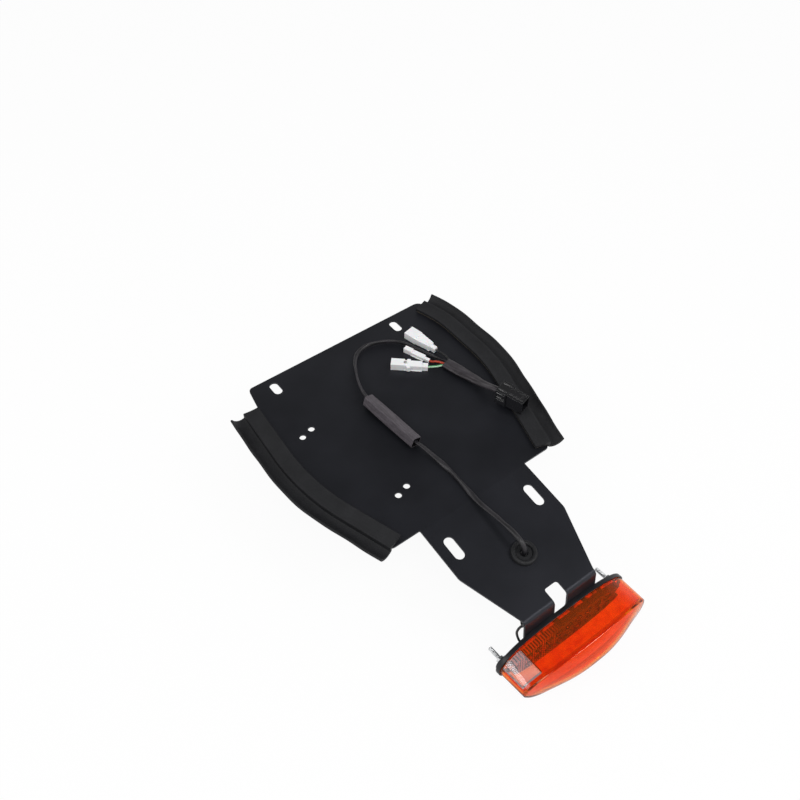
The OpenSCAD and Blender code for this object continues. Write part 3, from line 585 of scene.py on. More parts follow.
@dataclass(frozen=True)
class Sleeving:
    """Soft sleeving over wires: creases along and across it, with paler ridges painted on the folds as a
    highlight.
    """

    name: str
    dark: Color
    pale: Color
    roughness: float = 0.42
    crease: float = 0.0030
    depth: float = 0.00035
    taped_from: float = 10.0
    tape_blend: float = 0.004
    specular: float = 0.5
    hollow: float = 0.0
    skin: float = 0.0006

    def paint(self) -> bpy.types.Material:
        """Builds the material.

        Past taped_from, in metres along it, it is black and lumpy. Nearer its middle than hollow, in metres,
        lies its inside, which is painted near black as painted shade inside the open sleeve.

        Returns:
            The material.
        """
        p = Painter(self.name)
        long_folds = p.noise(p.coordinates(Pattern.WRAP, (1.0, 1.0, 0.12)), self.crease, 3.0, 0.55)
        cross_folds = p.noise(p.coordinates(Pattern.WRAP, (0.5, 0.5, 1.0)), self.crease * 1.3, 4.0, 0.6)
        skin = p.noise(p.coordinates(Pattern.WRAP), self.skin, 2.0)
        tape_start, tape_full = (min(1.0, self.taped_from + blend) for blend in (0.0, self.tape_blend))
        taped = p.level(p.axis(Pattern.WRAP, 2), [(0.0, 0.0), (tape_start, 0.0), (tape_full, 1.0)])
        folds = 0.7 * long_folds + 0.3 * cross_folds
        # Painted highlight: the folds' high ridges are painted paler; the taped part stays dark.
        tone = p.level(folds, [(0.40, 0.0), (0.62, 1.0)]) * (1.0 - 0.8 * taped)
        color = p.mix(tone, self.dark, self.pale)
        # Painted shade: the sleeve's inside is painted near black, as the shade within its open ends.
        if self.hollow > 0.0:
            reach = p.axis(Pattern.WRAP, 0).size().larger(p.axis(Pattern.WRAP, 1).size()) * SPREAD
            edge = self.hollow * SPREAD
            inside = p.level(reach, [(edge - 0.01, 1.0), (edge + 0.01, 0.0)])
            color = p.mix(inside, color, tuple(channel * 0.08 for channel in self.dark))
        lumps = folds + 1.6 * taped * cross_folds
        height = 0.9 * lumps + 0.1 * skin
        return p.surface(Base_Color=color, Roughness=self.roughness + 0.15 * cross_folds - 0.12 * taped,
                         Specular_IOR_Level=self.specular, Normal=p.bump(height, self.depth))


@dataclass(frozen=True)
class Insulation:
    """A single wire's plastic skin, with a stripe along it where stripe isn't 0."""

    name: str
    color: Color
    stripe_color: Color = (0.8, 0.8, 0.78)
    stripe: float = 0.0
    roughness: float = 0.32
    grime: float = 0.002
    depth: float = 0.00003

    def paint(self) -> bpy.types.Material:
        """Builds the material. A stripe lies where the height over the wire's middle passes 1 mm less stripe.

        Returns:
            The material.
        """
        p = Painter(self.name)
        grime = p.noise(p.coordinates(Pattern.WRAP), self.grime, 3.0)
        color = p.mix(grime, self.color, tuple(channel * 0.7 for channel in self.color))
        if self.stripe > 0.0:
            height = p.axis(Pattern.WRAP, 1) * (1.0 / MM)
            edge = 1.0 - self.stripe
            color = p.mix(p.level(height, [(edge - 0.04, 0.0), (edge + 0.04, 1.0)]), color, self.stripe_color)
        return p.surface(Base_Color=color, Roughness=self.roughness + 0.1 * grime,
                         Normal=p.bump(grime, self.depth))


def smooth_path(points: Sequence[Sequence[float]], steps: int) -> Array:
    """Carries a curve through points.

    Between two points it is the Catmull-Rom cubic: half of (2 b + (c - a) t + (2 a - 5 b + 4 c - d) t^2
    + (3 b - a - 3 c + d) t^3), with a and d the points before and after them.

    Args:
        points: The points, in millimetres.
        steps: Steps between two points.

    Returns:
        The curve's points, in metres.
    """
    p = np.asarray(points, float) * MM
    p = np.vstack([2 * p[0] - p[1], p, 2 * p[-1] - p[-2]])
    a, b, c, d = (p[i:len(p) - 3 + i, None, :] for i in range(4))
    t = np.linspace(0.0, 1.0, steps, endpoint=False)[None, :, None]
    curve = 0.5 * (2 * b + (c - a) * t + (2 * a - 5 * b + 4 * c - d) * t**2 + (3 * b - a - 3 * c + d) * t**3)
    return np.vstack([curve.reshape(-1, 3), p[-2]])


def unit(vectors: Array) -> Array:
    """Vectors of length 1 along the given ones."""
    return vectors / np.linalg.norm(vectors, axis=-1, keepdims=True)


def ring_turns(count: int) -> Array:
    """Angles that share a ring evenly, from 0."""
    return np.arange(count) * 2 * math.pi / count


def superellipse(turns: Array, power: float) -> tuple[Array, Array]:
    """The cosine and the sine of the turns, each to a power with its sign kept."""
    cos, sin = (np.sign(f) * np.abs(f) ** power for f in (np.cos(turns), np.sin(turns)))
    return cos, sin


def placed(points: Array, at: Sequence[float], turn: float) -> Array:
    """Turns points about Z by a turn in degrees, whose cosine is c and sine s, and moves them to a place."""
    c, s = math.cos(math.radians(turn)), math.sin(math.radians(turn))
    return np.asarray(at, float) + points @ np.array([[c, s, 0.0], [-s, c, 0.0], [0.0, 0.0, 1.0]])


def risen(distance: Array, start: float, run: float) -> Array:
    """A rise from 0 at a start to 1 where a run past it ends."""
    return np.clip((distance - start) / run, 0.0, 1.0)


def with_distance(section: Array, along: Array) -> Array:
    """What a swept piece's pattern follows: its offsets across and up, and the distance along it."""
    return np.concatenate([section, np.broadcast_to(along[:, None, None], section.shape[:2] + (1,))], -1)


def way_frames(path: Array, reference: Sequence[float]) -> tuple[Array, Array, Array]:
    """Finds two directions square to a path at each of its points.

    The first is the reference less its part along the path, and the second is square to both.

    Args:
        path: The path's points.
        reference: A direction that the path never runs along.

    Returns:
        The directions across and up, and the distance along the path.
    """
    along = unit(np.gradient(path, axis=0))
    reference = np.asarray(reference, float)
    across = unit(reference - (along @ reference)[:, None] * along)
    up = np.cross(along, across)
    lengths = np.linalg.norm(np.diff(path, axis=0), axis=1)
    return across, up, np.concatenate([[0.0], np.cumsum(lengths)])


def carry(path: Array, across: Array, up: Array, section: Array) -> Array:
    """Carries sections along a path: each point is the path's plus its offsets across and up.

    Args:
        path: Points of the path.
        across: A direction for each.
        up: The other direction for each.
        section: Offsets in metres, by row, column and direction.

    Returns:
        A grid of points.
    """
    return path[:, None] + section[..., :1] * across[:, None] + section[..., 1:] * up[:, None]


def grid_faces(rows: int, columns: int, close_rows: bool, caps: tuple[bool, bool]) -> list:
    """Joins a grid whose columns close into rings.

    Args:
        rows: How many rings.
        columns: How many points each has.
        close_rows: Whether the last ring joins the first.
        caps: Whether the first and last rings get a face.

    Returns:
        The faces' corners.
    """
    k = np.arange(rows if close_rows else rows - 1)[:, None]
    i = np.arange(columns)[None, :]
    row, after, beside = k * columns, (k + 1) % rows * columns, (i + 1) % columns
    quads = np.stack([row + i, row + beside, after + beside, after + i], -1)
    faces = quads.reshape(-1, 4).tolist()
    if caps[0]:
        faces.append(list(range(columns - 1, -1, -1)))
    if caps[1]:
        faces.append(list(range((rows - 1) * columns, rows * columns)))
    return faces


def set_wrap(mesh: bpy.types.Mesh, wrap: Array) -> None:
    """Stores what a pattern follows, a vector for each point."""
    attribute = mesh.attributes.new("wrap", "FLOAT_VECTOR", "POINT")
    attribute.data.foreach_set("vector", wrap.astype(np.float32).ravel())


@dataclass
class Shape:
    """A mesh in the making: points in metres, faces, and what its pattern follows."""

    points: Array
    faces: list
    wrap: Optional[Array] = None

    @staticmethod
    def of_rings(grid: Array, caps: tuple[bool, bool] = (True, True), close_rows: bool = False,
                 wrap: Optional[Array] = None) -> "Shape":
        """Makes a shape of closed rings, each a row of the grid."""
        faces = grid_faces(grid.shape[0], grid.shape[1], close_rows, caps)
        return Shape(grid.reshape(-1, 3), faces, None if wrap is None else wrap.reshape(-1, 3))

    def joined(self, other: "Shape") -> "Shape":
        """Joins this shape and another.

        Args:
            other: The other shape.

        Returns:
            Both as one shape, which follows a pattern where both do.
        """
        shift = len(self.points)
        faces = self.faces + [[shift + i for i in face] for face in other.faces]
        wrap = None if self.wrap is None or other.wrap is None else np.vstack([self.wrap, other.wrap])
        return Shape(np.vstack([self.points, other.points]), faces, wrap)

    def turned_inside_out(self) -> "Shape":
        """The same shape with its faces turned round, as after a mirror."""
        return Shape(self.points, [face[::-1] for face in self.faces], self.wrap)

    def volume(self) -> float:
        """Adds up six times the volume under each quad.

        Returns:
            The sum, below 0 where the faces point inwards.
        """
        quads = [face for face in self.faces if len(face) == 4]
        a, b, c, d = (self.points[[face[i] for face in quads]] for i in range(4))
        return float((a * (np.cross(b, c) + np.cross(c, d))).sum())

    def outward(self) -> "Shape":
        """The shape with its faces pointing outwards."""
        return self.turned_inside_out() if self.volume() < 0.0 else self


@dataclass
class Workshop:
    """Makes pieces, gives them their finish and hides the nodes that they stand for."""

    weld: float = 2e-6
    flat: float = 0.4
    crisp: float = 32.0
    painted: dict = field(default_factory=dict)

    def finish(self, look: Any) -> bpy.types.Material:
        """Paints a finish once.

        Args:
            look: The finish.

        Returns:
            Its material.
        """
        if look.name not in self.painted:
            self.painted[look.name] = look.paint()
        return self.painted[look.name]

    def piece(self, name: str, shape: Shape, look: Any, slot: str, nodes: Sequence[str],
              sharp: float = 40.0) -> bpy.types.Object:
        """Makes a piece that stands for nodes of the frame.

        Args:
            name: The piece's name.
            shape: Its mesh.
            look: Its finish.
            slot: Not used.
            nodes: The nodes that it stands for, or none for a detail.
            sharp: Edges that turn more than this many degrees stay sharp.

        Returns:
            The object.
        """
        mesh = bpy.data.meshes.new(name)
        mesh.from_pydata(shape.points.tolist(), [], shape.faces)
        if shape.wrap is not None:
            set_wrap(mesh, shape.wrap)
        mesh.shade_smooth()
        mesh.set_sharp_from_angle(angle=math.radians(sharp))
        log.info("piece %s: %d points, %d faces", name, len(shape.points), len(shape.faces))
        return self.set_out(mesh, look, slot, nodes)

    def set_out(self, mesh: bpy.types.Mesh, look: Any, slot: str, nodes: Sequence[str]) -> bpy.types.Object:
        """Puts a mesh into the scene as a piece of the object.

        Args:
            mesh: The mesh, whose name the piece gets.
            look: The finish.
            slot: Not used.
            nodes: The nodes that it stands for, or none for a detail.

        Returns:
            The object.
        """
        mesh.materials.append(self.finish(look))
        made = bpy.data.objects.new(mesh.name, mesh)
        bpy.context.scene.collection.objects.link(made)
        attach(made, BODY)
        if nodes:
            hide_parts(*nodes)
        return made

    def dressed(self, node: str, look: Any) -> bpy.types.Object:
        """Gives a node of the frame its finish.

        Args:
            node: The node.
            look: The finish.

        Returns:
            The node's object.
        """
        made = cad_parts[node]
        made.data.materials.clear()
        made.data.materials.append(self.finish(look))
        log.info("node %s: %s", node, look.name)
        return made

    def softened(self, node: str, look: Any, slot: str, edge: float) -> bpy.types.Object:
        """Copies a node with its edges rounded, to stand for it.

        Points that lie within the weld are merged, and faces that turn less than the flat angle join.

        Args:
            node: The node.
            look: The finish.
            slot: Not used.
            edge: The radius of its edges, in millimetres.

        Returns:
            The object.
        """
        mesh = bpy.data.meshes.new(node + "_shell")
        work = bmesh.new()
        work.from_mesh(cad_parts[node].data)
        bmesh.ops.remove_doubles(work, verts=work.verts, dist=self.weld)
        bmesh.ops.dissolve_limit(work, angle_limit=math.radians(self.flat), verts=work.verts,
                                 edges=work.edges)
        work.to_mesh(mesh)
        work.free()
        mesh.shade_smooth()
        made = self.set_out(mesh, look, slot, [node])
        bevel = made.modifiers.new("edges", "BEVEL")
        bevel.width = edge * MM
        bevel.segments = 2
        bevel.limit_method = "ANGLE"
        bevel.angle_limit = math.radians(self.crisp)
        bevel.use_clamp_overlap = True
        weighted = made.modifiers.new("normals", "WEIGHTED_NORMAL")
        weighted.weight = 100
        weighted.keep_sharp = True
        log.info("softened %s: %d faces before its edges", node, len(mesh.polygons))
        return made


@dataclass
class FoldedSheet:
    """The plate's folds, which carry what sits on its rear part and on its flange."""

    wing_reach: float = 219.3
    fold_r: float = 20.0
    fold_angle: float = 7.6
    rear_run: float = 112.2
    bend_r: float = 5.0
    bend_angle: float = 75.0
    lamp_drop: float = 32.1

    @staticmethod
    def past_bend(points: Array, at: float, r: float, angle: float) -> Array:
        """Turns points about a bend's axis and moves them to the bend's end.

        With c and s the cosine and sine of the angle and h = z + r, y becomes y c - h s - at and z
        becomes y s + h c - r.

        Args:
            points: The points.
            at: How far the bend's start lies to the rear.
            r: The radius of the sheet's top face.
            angle: The bend's turn, in degrees.

        Returns:
            The moved points.
        """
        c, s = math.cos(math.radians(angle)), math.sin(math.radians(angle))
        x, y, h = points[..., 0], points[..., 1], points[..., 2] + r
        return np.stack([x, y * c - h * s - at, y * s + h * c - r], -1)

    def on_rear_part(self, points: Array) -> Array:
        """Puts points given on the rear part into the frame."""
        return self.past_bend(points, self.wing_reach, self.fold_r, self.fold_angle)

    def on_flange(self, points: Array) -> Array:
        """Puts points given on the flange into the frame."""
        return self.on_rear_part(self.past_bend(points, self.rear_run, self.bend_r, self.bend_angle))

    def at_lamp(self, points: Array) -> Array:
        """Puts points given from the lamp's middle (along, up and rearward) into the frame, in metres."""
        return MM * self.on_flange(points - np.array([0.0, self.lamp_drop, 0.0]))


@dataclass
class Plate:
    """The folded sheet itself, with its edges rounded by the coat."""

    shop: Workshop
    edge: float = 0.35

    def build(self) -> None:
        """Makes the plate."""
        self.shop.softened("tail_plate", SatinCoat(), "sheet", self.edge)


@dataclass
class Seal:
    """An extruded rubber seal along one wing: a dished band, a web past the edge and a curled lip."""

    shop: Workshop
    side: int
    start: tuple[float, float]
    lean: float
    stretches: Sequence[tuple[float, float]]
    band_w: float = 16.2
    band_t: float = 3.2
    tape_t: float = 1.2
    web_t: float = 2.2
    dish: float = 0.5
    lip_r: float = 10.3
    lip_t: float = 2.2
    lip_out: float = 4.3
    lip_up: float = 7.0
    lip_from: float = 120.0
    lip_to: float = 25.0
    corner: float = 0.45
    spacing: float = 1.6
    arc_steps: int = 20
    tip_steps: int = 9
    band_steps: int = 12
    wave: float = 0.28
    wave_lengths: tuple[float, float] = (13.0, 5.7)
    quick_share: float = 0.6
    lip_reach: float = 8.0

    def path(self) -> tuple[Array, Array, Array]:
        """Follows the stretches: a run keeps its heading, and an arc turns it evenly.

        Returns:
            The points of the band's inner edge, the headings in radians and the distance along, in mm.
        """
        at = np.array(self.start, float)
        heading = math.radians(self.lean)
        rows = [np.array([[*at, heading]])]
        for length, turn in self.stretches:
            count = max(2, round(length / self.spacing))
            share = np.arange(1, count + 1) / count
            headings = heading - math.radians(turn) * share
            middle = heading - math.radians(turn) * (share - 0.5 / count)
            step = length / count
            x = at[0] + np.cumsum(np.sin(middle)) * step
            y = at[1] - np.cumsum(np.cos(middle)) * step
            rows.append(np.stack([x, y, headings], 1))
            at, heading = np.array([x[-1], y[-1]]), headings[-1]
        states = np.vstack(rows)
        gaps = np.linalg.norm(np.diff(states[:, :2], axis=0), axis=1)
        return states[:, :2], states[:, 2], np.concatenate([[0.0], np.cumsum(gaps)])

    def arc(self, start: float, end: float, r: float, count: int) -> Array:
        """Points on the lip's curve: its centre plus r (cos a, -sin a), for a from start to end."""
        a = np.radians(np.linspace(start, end, count))
        return np.stack([self.band_w + self.lip_out + r * np.cos(a), self.lip_up - r * np.sin(a)], -1)

    def section(self) -> Array:
        """Draws the seal's outline.

        The band's top sinks by 4 dish t (1 - t). The lip is two arcs about one centre, joined by a half
        circle at its tip.

        Returns:
            Points out from the band's inner edge, and up from the sheet, in mm.
        """
        root = math.degrees(math.acos(-self.lip_out / (self.lip_r - self.lip_t / 2)))
        top = self.tape_t + self.band_t
        inner = self.band_w - self.web_t
        tip_middle = self.arc(self.lip_to, self.lip_to, self.lip_r, 1)
        a = np.radians(np.linspace(0, 180, self.tip_steps)[1:-1] - self.lip_to)
        tip = tip_middle + self.lip_t / 2 * np.stack([np.cos(a), np.sin(a)], -1)
        t = np.linspace(0, 1, self.band_steps)
        band = np.stack([(1 - t) * inner, top - 4 * self.dish * t * (1 - t)], -1)
        parts = [[[0, self.tape_t]], [[inner, self.tape_t]],
                 [[inner, self.arc(self.lip_from, self.lip_from, self.lip_r, 1)[0, 1]]],
                 self.arc(self.lip_from, self.lip_to, self.lip_r + self.lip_t / 2, self.arc_steps), tip,
                 self.arc(self.lip_to, root, self.lip_r - self.lip_t / 2, self.arc_steps),
                 [[self.band_w, top]], band]
        return self.soften(np.vstack(parts))

    def soften(self, outline: Array) -> Array:
        """Cuts each corner: a point becomes one before it, one after it and one between, drawn in by a half.

        Args:
            outline: The closed outline's points.

        Returns:
            Three points for each.
        """
        before = np.roll(outline, 1, 0) - outline
        after = np.roll(outline, -1, 0) - outline
        first, last = (outline + way * np.minimum(0.33, self.corner / np.linalg.norm(way, axis=1))[:, None]
                       for way in (before, after))
        return np.stack([first, 0.5 * outline + 0.25 * (first + last), last], 1).reshape(-1, 2)

    def build(self, node: str) -> None:
        """Makes the seal, whose lip sways inwards by two sines of the distance along it.

        Args:
            node: The node that it stands for.
        """
        at, heading, along = self.path()
        outline = self.section()
        out = np.broadcast_to(outline[None, :, 0], (len(at), len(outline))).copy()
        up = np.broadcast_to(outline[None, :, 1], out.shape).copy()
        lip = risen(out, self.band_w, self.lip_reach) ** 1.5
        slow, quick = (along / length for length in self.wave_lengths)
        most = 1.0 + self.quick_share
        sway = self.wave * (np.sin(slow + self.side) + self.quick_share * np.sin(quick) - most)
        out += lip * sway[:, None]
        grid = np.stack([at[:, :1] + out * np.cos(heading)[:, None],
                         at[:, 1:] + out * np.sin(heading)[:, None], up], -1)
        wrap = with_distance(np.stack([out, up], -1), along) * MM
        shape = Shape.of_rings(grid * MM, wrap=wrap)
        if self.side < 0:
            shape.points[:, 0] *= -1.0
            shape = shape.turned_inside_out()
        self.shop.piece(node + "_rubber", shape, Rubber(), "edge_rubber", [node], 32.0)


@dataclass
class Lamp:
    """The tail lamp: base, gasket, inner housing, board, LEDs, lens with a clear window, and studs."""

    shop: Workshop
    sheet: FoldedSheet
    half_l: float = 74.3
    half_h: float = 21.0
    rim: float = 1.5
    wall: float = 2.4
    front: float = 3.0
    end_depth: float = 30.0
    ridge_rise: float = 5.0
    bulge: float = 9.0
    lean_h: float = 3.6
    lean_l: float = 0.9
    ridge_round: float = 1.1
    window: tuple[float, float] = (-71.0, -52.0)
    window_depths: tuple[float, float] = (5.4, 30.4)
    window_rise: float = 0.36
    window_gap: float = 0.06
    window_reaches: tuple[float, float] = (20.0, 30.0)
    stud_x: float = 64.3
    stud_r: float = 2.0
    stud_l: float = 19.0
    thread_pitch: float = 0.7
    thread_depth: float = 0.32
    tip_r: float = 1.45
    floor: float = 2.2
    head: float = 7.0
    head_t: float = 1.6
    board_top: float = 3.8
    housing_share: float = 0.6
    columns: int = 300
    window_grid: tuple[int, int] = (24, 20)
    wall_rows: int = 22
    ridge_rows: tuple = (1.006, 1.012, 1.02, 1.03)
    face_rows: int = 26
    last_row: float = 1.985

    def outline(self, a: Array, b: Array, t: Array) -> tuple[Array, Array]:
        """The lamp's outline: a |cos t|^(2/3) with the cosine's sign, and b sin t."""
        return a * np.sign(np.cos(t)) * np.abs(np.cos(t)) ** (2.0 / 3.0), b * np.sin(t)

    def surface(self, t: Array, s: Array, inset: float) -> Array:
        """A lens surface on a grid of t (round it) and s (0 at the base, 1 at the ridge, 2 at the middle).

        Up to the ridge, the outline shrinks evenly by the wall's lean while the depth grows evenly.
        Past it the ridge's outline shrinks by k = 2 - s, and the depth is the ridge's plus a bulge of
        1 - k^2, each times 1 - |x/a|^2.5. Over the first 0.03 of it the ridge's rounding fades out.

        Args:
            t: Angles round the lens.
            s: Places from the base to the middle.
            inset: 0 for the outer surface, or the wall for the inner one.

        Returns:
            Points along, up and rearward of the lamp's middle, in mm.
        """
        t, s = t[None, :], s[:, None]
        a0, b0 = self.half_l - self.rim - inset, self.half_h - self.rim - inset
        a1 = a0 - self.lean_l
        wall = np.clip(s, 0.0, 1.0)
        k = np.clip(2.0 - s, 0.0, 1.0)
        x, h = self.outline((a0 - self.lean_l * wall) * k, (b0 - self.lean_h * wall) * k, t)
        fall = 1.0 - np.minimum(1.0, np.abs(x) / a1) ** 2.5
        round_off = self.ridge_round * np.clip(1.0 - (1.0 - k) / 0.03, 0.0, 1.0) ** 2
        face = self.end_depth + fall * (self.ridge_rise + self.bulge * (1.0 - k * k)) - inset - round_off
        side = wall * (self.end_depth + fall * self.ridge_rise - inset - self.ridge_round)
        return np.stack(np.broadcast_arrays(x, h, self.front + np.where(s < 1.0, side, face)), -1)

    def window_turns(self) -> tuple[float, float]:
        """The angles of the window's two ends, from x = a |cos t|^(2/3)."""
        a = self.half_l - self.rim
        return tuple(math.acos(-((-x / a) ** 1.5)) for x in (self.window[1], self.window[0]))

    def window_places(self) -> tuple[float, float]:
        """The places of the window's long edges, with the share window_rise of the ridge's rise there."""
        reach = self.end_depth + self.window_rise * self.ridge_rise - self.ridge_round
        return tuple((depth - self.front) / reach for depth in self.window_depths)

    @staticmethod
    def walled(outer: Array, inner: Array, keep: Array, closed: bool) -> Shape:
        """Makes a wall between two grids, over the cells that are kept.

        A cell has a face on each grid, and where a kept cell borders on none, a face joins the two.

        Args:
            outer: The outer grid's points.
            inner: The inner grid's points.
            keep: Whether each cell is kept.
            closed: Whether the last column joins the first.

        Returns:
            The wall.
        """
        rows, columns = outer.shape[:2]
        k, i = np.indices(keep.shape)
        j = (i + 1) % columns
        shift = rows * columns
        row, below = k * columns, (k + 1) * columns
        corners = np.stack([row + i, row + j, below + j, below + i], -1)
        faces = corners[keep].tolist() + (corners[keep][:, ::-1] + shift).tolist()
        beside = [np.roll(keep, 1, 1), np.roll(keep, -1, 1)]
        if not closed:
            beside[0][:, 0] = False
            beside[1][:, -1] = False
        before = np.vstack([np.zeros_like(keep[:1]), keep[:-1]])
        behind = np.vstack([keep[1:], np.zeros_like(keep[:1])])
        for other, (p, q) in zip((before, beside[1], behind, beside[0]), ((0, 1), (1, 2), (2, 3), (3, 0))):
            edge = corners[keep & ~other]
            wall = np.stack([edge[:, q], edge[:, p], edge[:, p] + shift, edge[:, q] + shift], -1)
            faces += wall.tolist()
        return Shape(np.vstack([outer.reshape(-1, 3), inner.reshape(-1, 3)]), faces)

    def lens(self) -> None:
        """Makes the orange lens, with a hole for its window.

        A column's cells start at its own turn, so one that starts at the hole's first end lies in it. The
        last row's two rings are closed with a face each.
        """
        low, high = self.window_turns()
        base, ridge = self.window_places()
        even = (np.arange(self.columns) + 0.5) * 2 * math.pi / self.columns
        t = np.unique(np.concatenate([even, [low, high]]))
        s = np.unique(np.concatenate([np.linspace(0, 1, self.wall_rows), [base, ridge], self.ridge_rows,
                                      np.linspace(1.05, self.last_row, self.face_rows)]))
        outer = self.sheet.at_lamp(self.surface(t, s, 0.0))
        inner = self.sheet.at_lamp(self.surface(t, s, self.wall))
        middle_s = (0.5 * (s[1:] + s[:-1]))[:, None]
        inside = (middle_s > base) & (middle_s < ridge) & (t >= low) & (t < high)
        shape = self.walled(outer, inner, ~inside, True)
        place = np.stack(np.broadcast_arrays(t[None, :], s[:, None], np.zeros((1, 1))), -1).reshape(-1, 3)
        shape.wrap = np.vstack([place, place])
        last = (len(s) - 1) * len(t)
        ends = list(range(last, last + len(t)))
        shape.faces += [ends, [i + len(s) * len(t) for i in ends[::-1]]]
        self.shop.piece("lamp_lens_shell", shape.outward(), ORANGE_LENS, "lens", ["lamp_lens"], 35.0)

    def clear_window(self) -> None:
        """Makes the clear window that fills the hole in the lens.

        The gap in mm is divided by what a turn of 1 and a place of 1 reach over there.
        """
        low, high = self.window_turns()
        base, ridge = self.window_places()
        turn_gap, place_gap = (self.window_gap / reach for reach in self.window_reaches)
        t = np.linspace(low + turn_gap, high - turn_gap, self.window_grid[0])
        s = np.linspace(base + place_gap, ridge - place_gap, self.window_grid[1])
        outer = self.sheet.at_lamp(self.surface(t, s, 0.0))
        inner = self.sheet.at_lamp(self.surface(t, s, self.wall))
        shape = self.walled(outer, inner, np.ones((len(s) - 1, len(t) - 1), bool), False)
        self.shop.piece("lamp_window_pane", shape.outward(), CLEAR_WINDOW, "window", ["lamp_window"], 30.0)

    def stud(self, side: int) -> Shape:
        """A threaded stud with a square head.

        The thread's radius is r less its depth times a saw from 0 to 1 and back, at z / pitch less the turn
        round the stud, and its free end tapers. The head is a square whose rings draw in at its two faces.

        Args:
            side: -1 for the left stud, 1 for the right one.

        Returns:
            The stud.
        """
        turn = ring_turns(28)
        z = np.linspace(-self.stud_l, self.floor, round((self.stud_l + self.floor) / self.thread_pitch * 8))
        z = z[:, None]
        phase = (z / self.thread_pitch - turn / (2 * math.pi)) % 1.0
        saw = 1.0 - np.abs(2.0 * phase - 1.0)
        r = np.minimum(self.stud_r - self.thread_depth * saw, self.tip_r + z + self.stud_l)
        half = self.head / 2
        levels = self.floor + np.array([0.0, 0.25, self.head_t - 0.3, self.head_t])
        reach = math.sqrt(2) * np.array([half - 0.1, half, half, half - 0.35])
        corners = math.pi / 4 + ring_turns(4)
        rods = []
        for radius, angle, level in ((r, turn, z), (reach[:, None], corners, levels[:, None])):
            along, up = side * self.stud_x + radius * np.cos(angle), radius * np.sin(angle)
            rod = np.stack([along, up, np.broadcast_to(level, along.shape)], -1)
            rods.append(Shape.of_rings(self.sheet.at_lamp(rod)))
        return rods[0].joined(rods[1])

    def inner_housing(self) -> None:
        """Makes the inner housing from the frame's, with its front drawn back to the depth that shows."""
        made = self.shop.softened("lamp_inner_housing", HOUSING, "lamp_housing", 0.15)
        origin, front = self.sheet.at_lamp(np.array([[0.0, 0.0, 0.0], [0.0, 0.0, 1.0]]))
        rearward = (front - origin) / MM
        points = np.empty(len(made.data.vertices) * 3)
        made.data.vertices.foreach_get("co", points)
        points = points.reshape(-1, 3)
        depth = (points - origin) @ rearward / MM
        over = depth - self.board_top
        drawn = np.where(over > 0.1, over * (self.housing_share - 1.0), 0.0)
        made.data.vertices.foreach_set("co", (points + drawn[:, None] * rearward * MM).ravel())
        height = (over + drawn) * MM
        set_wrap(made.data, np.stack([points[:, 0], height, 0.0 * height], -1))

    def build(self) -> None:
        """Makes the lamp's pieces and dresses those that the frame holds."""
        self.shop.softened("lamp_base", BLACK_BASE, "lamp_base", 0.4)
        self.shop.dressed("lamp_gasket", MOULDED_RUBBER)
        self.inner_housing()
        self.shop.dressed("lamp_led_board", BOARD)
        self.shop.dressed("lamp_leds", LED)
        self.lens()
        self.clear_window()
        studs = self.stud(-1).joined(self.stud(1))
        self.shop.piece("lamp_studs_threaded", studs, ZINC, "plated", ["lamp_studs"], 50.0)
        self.shop.softened("stud_washers", ZINC, "plated", 0.12)
        self.shop.softened("stud_nuts", ZINC, "plated", 0.25)


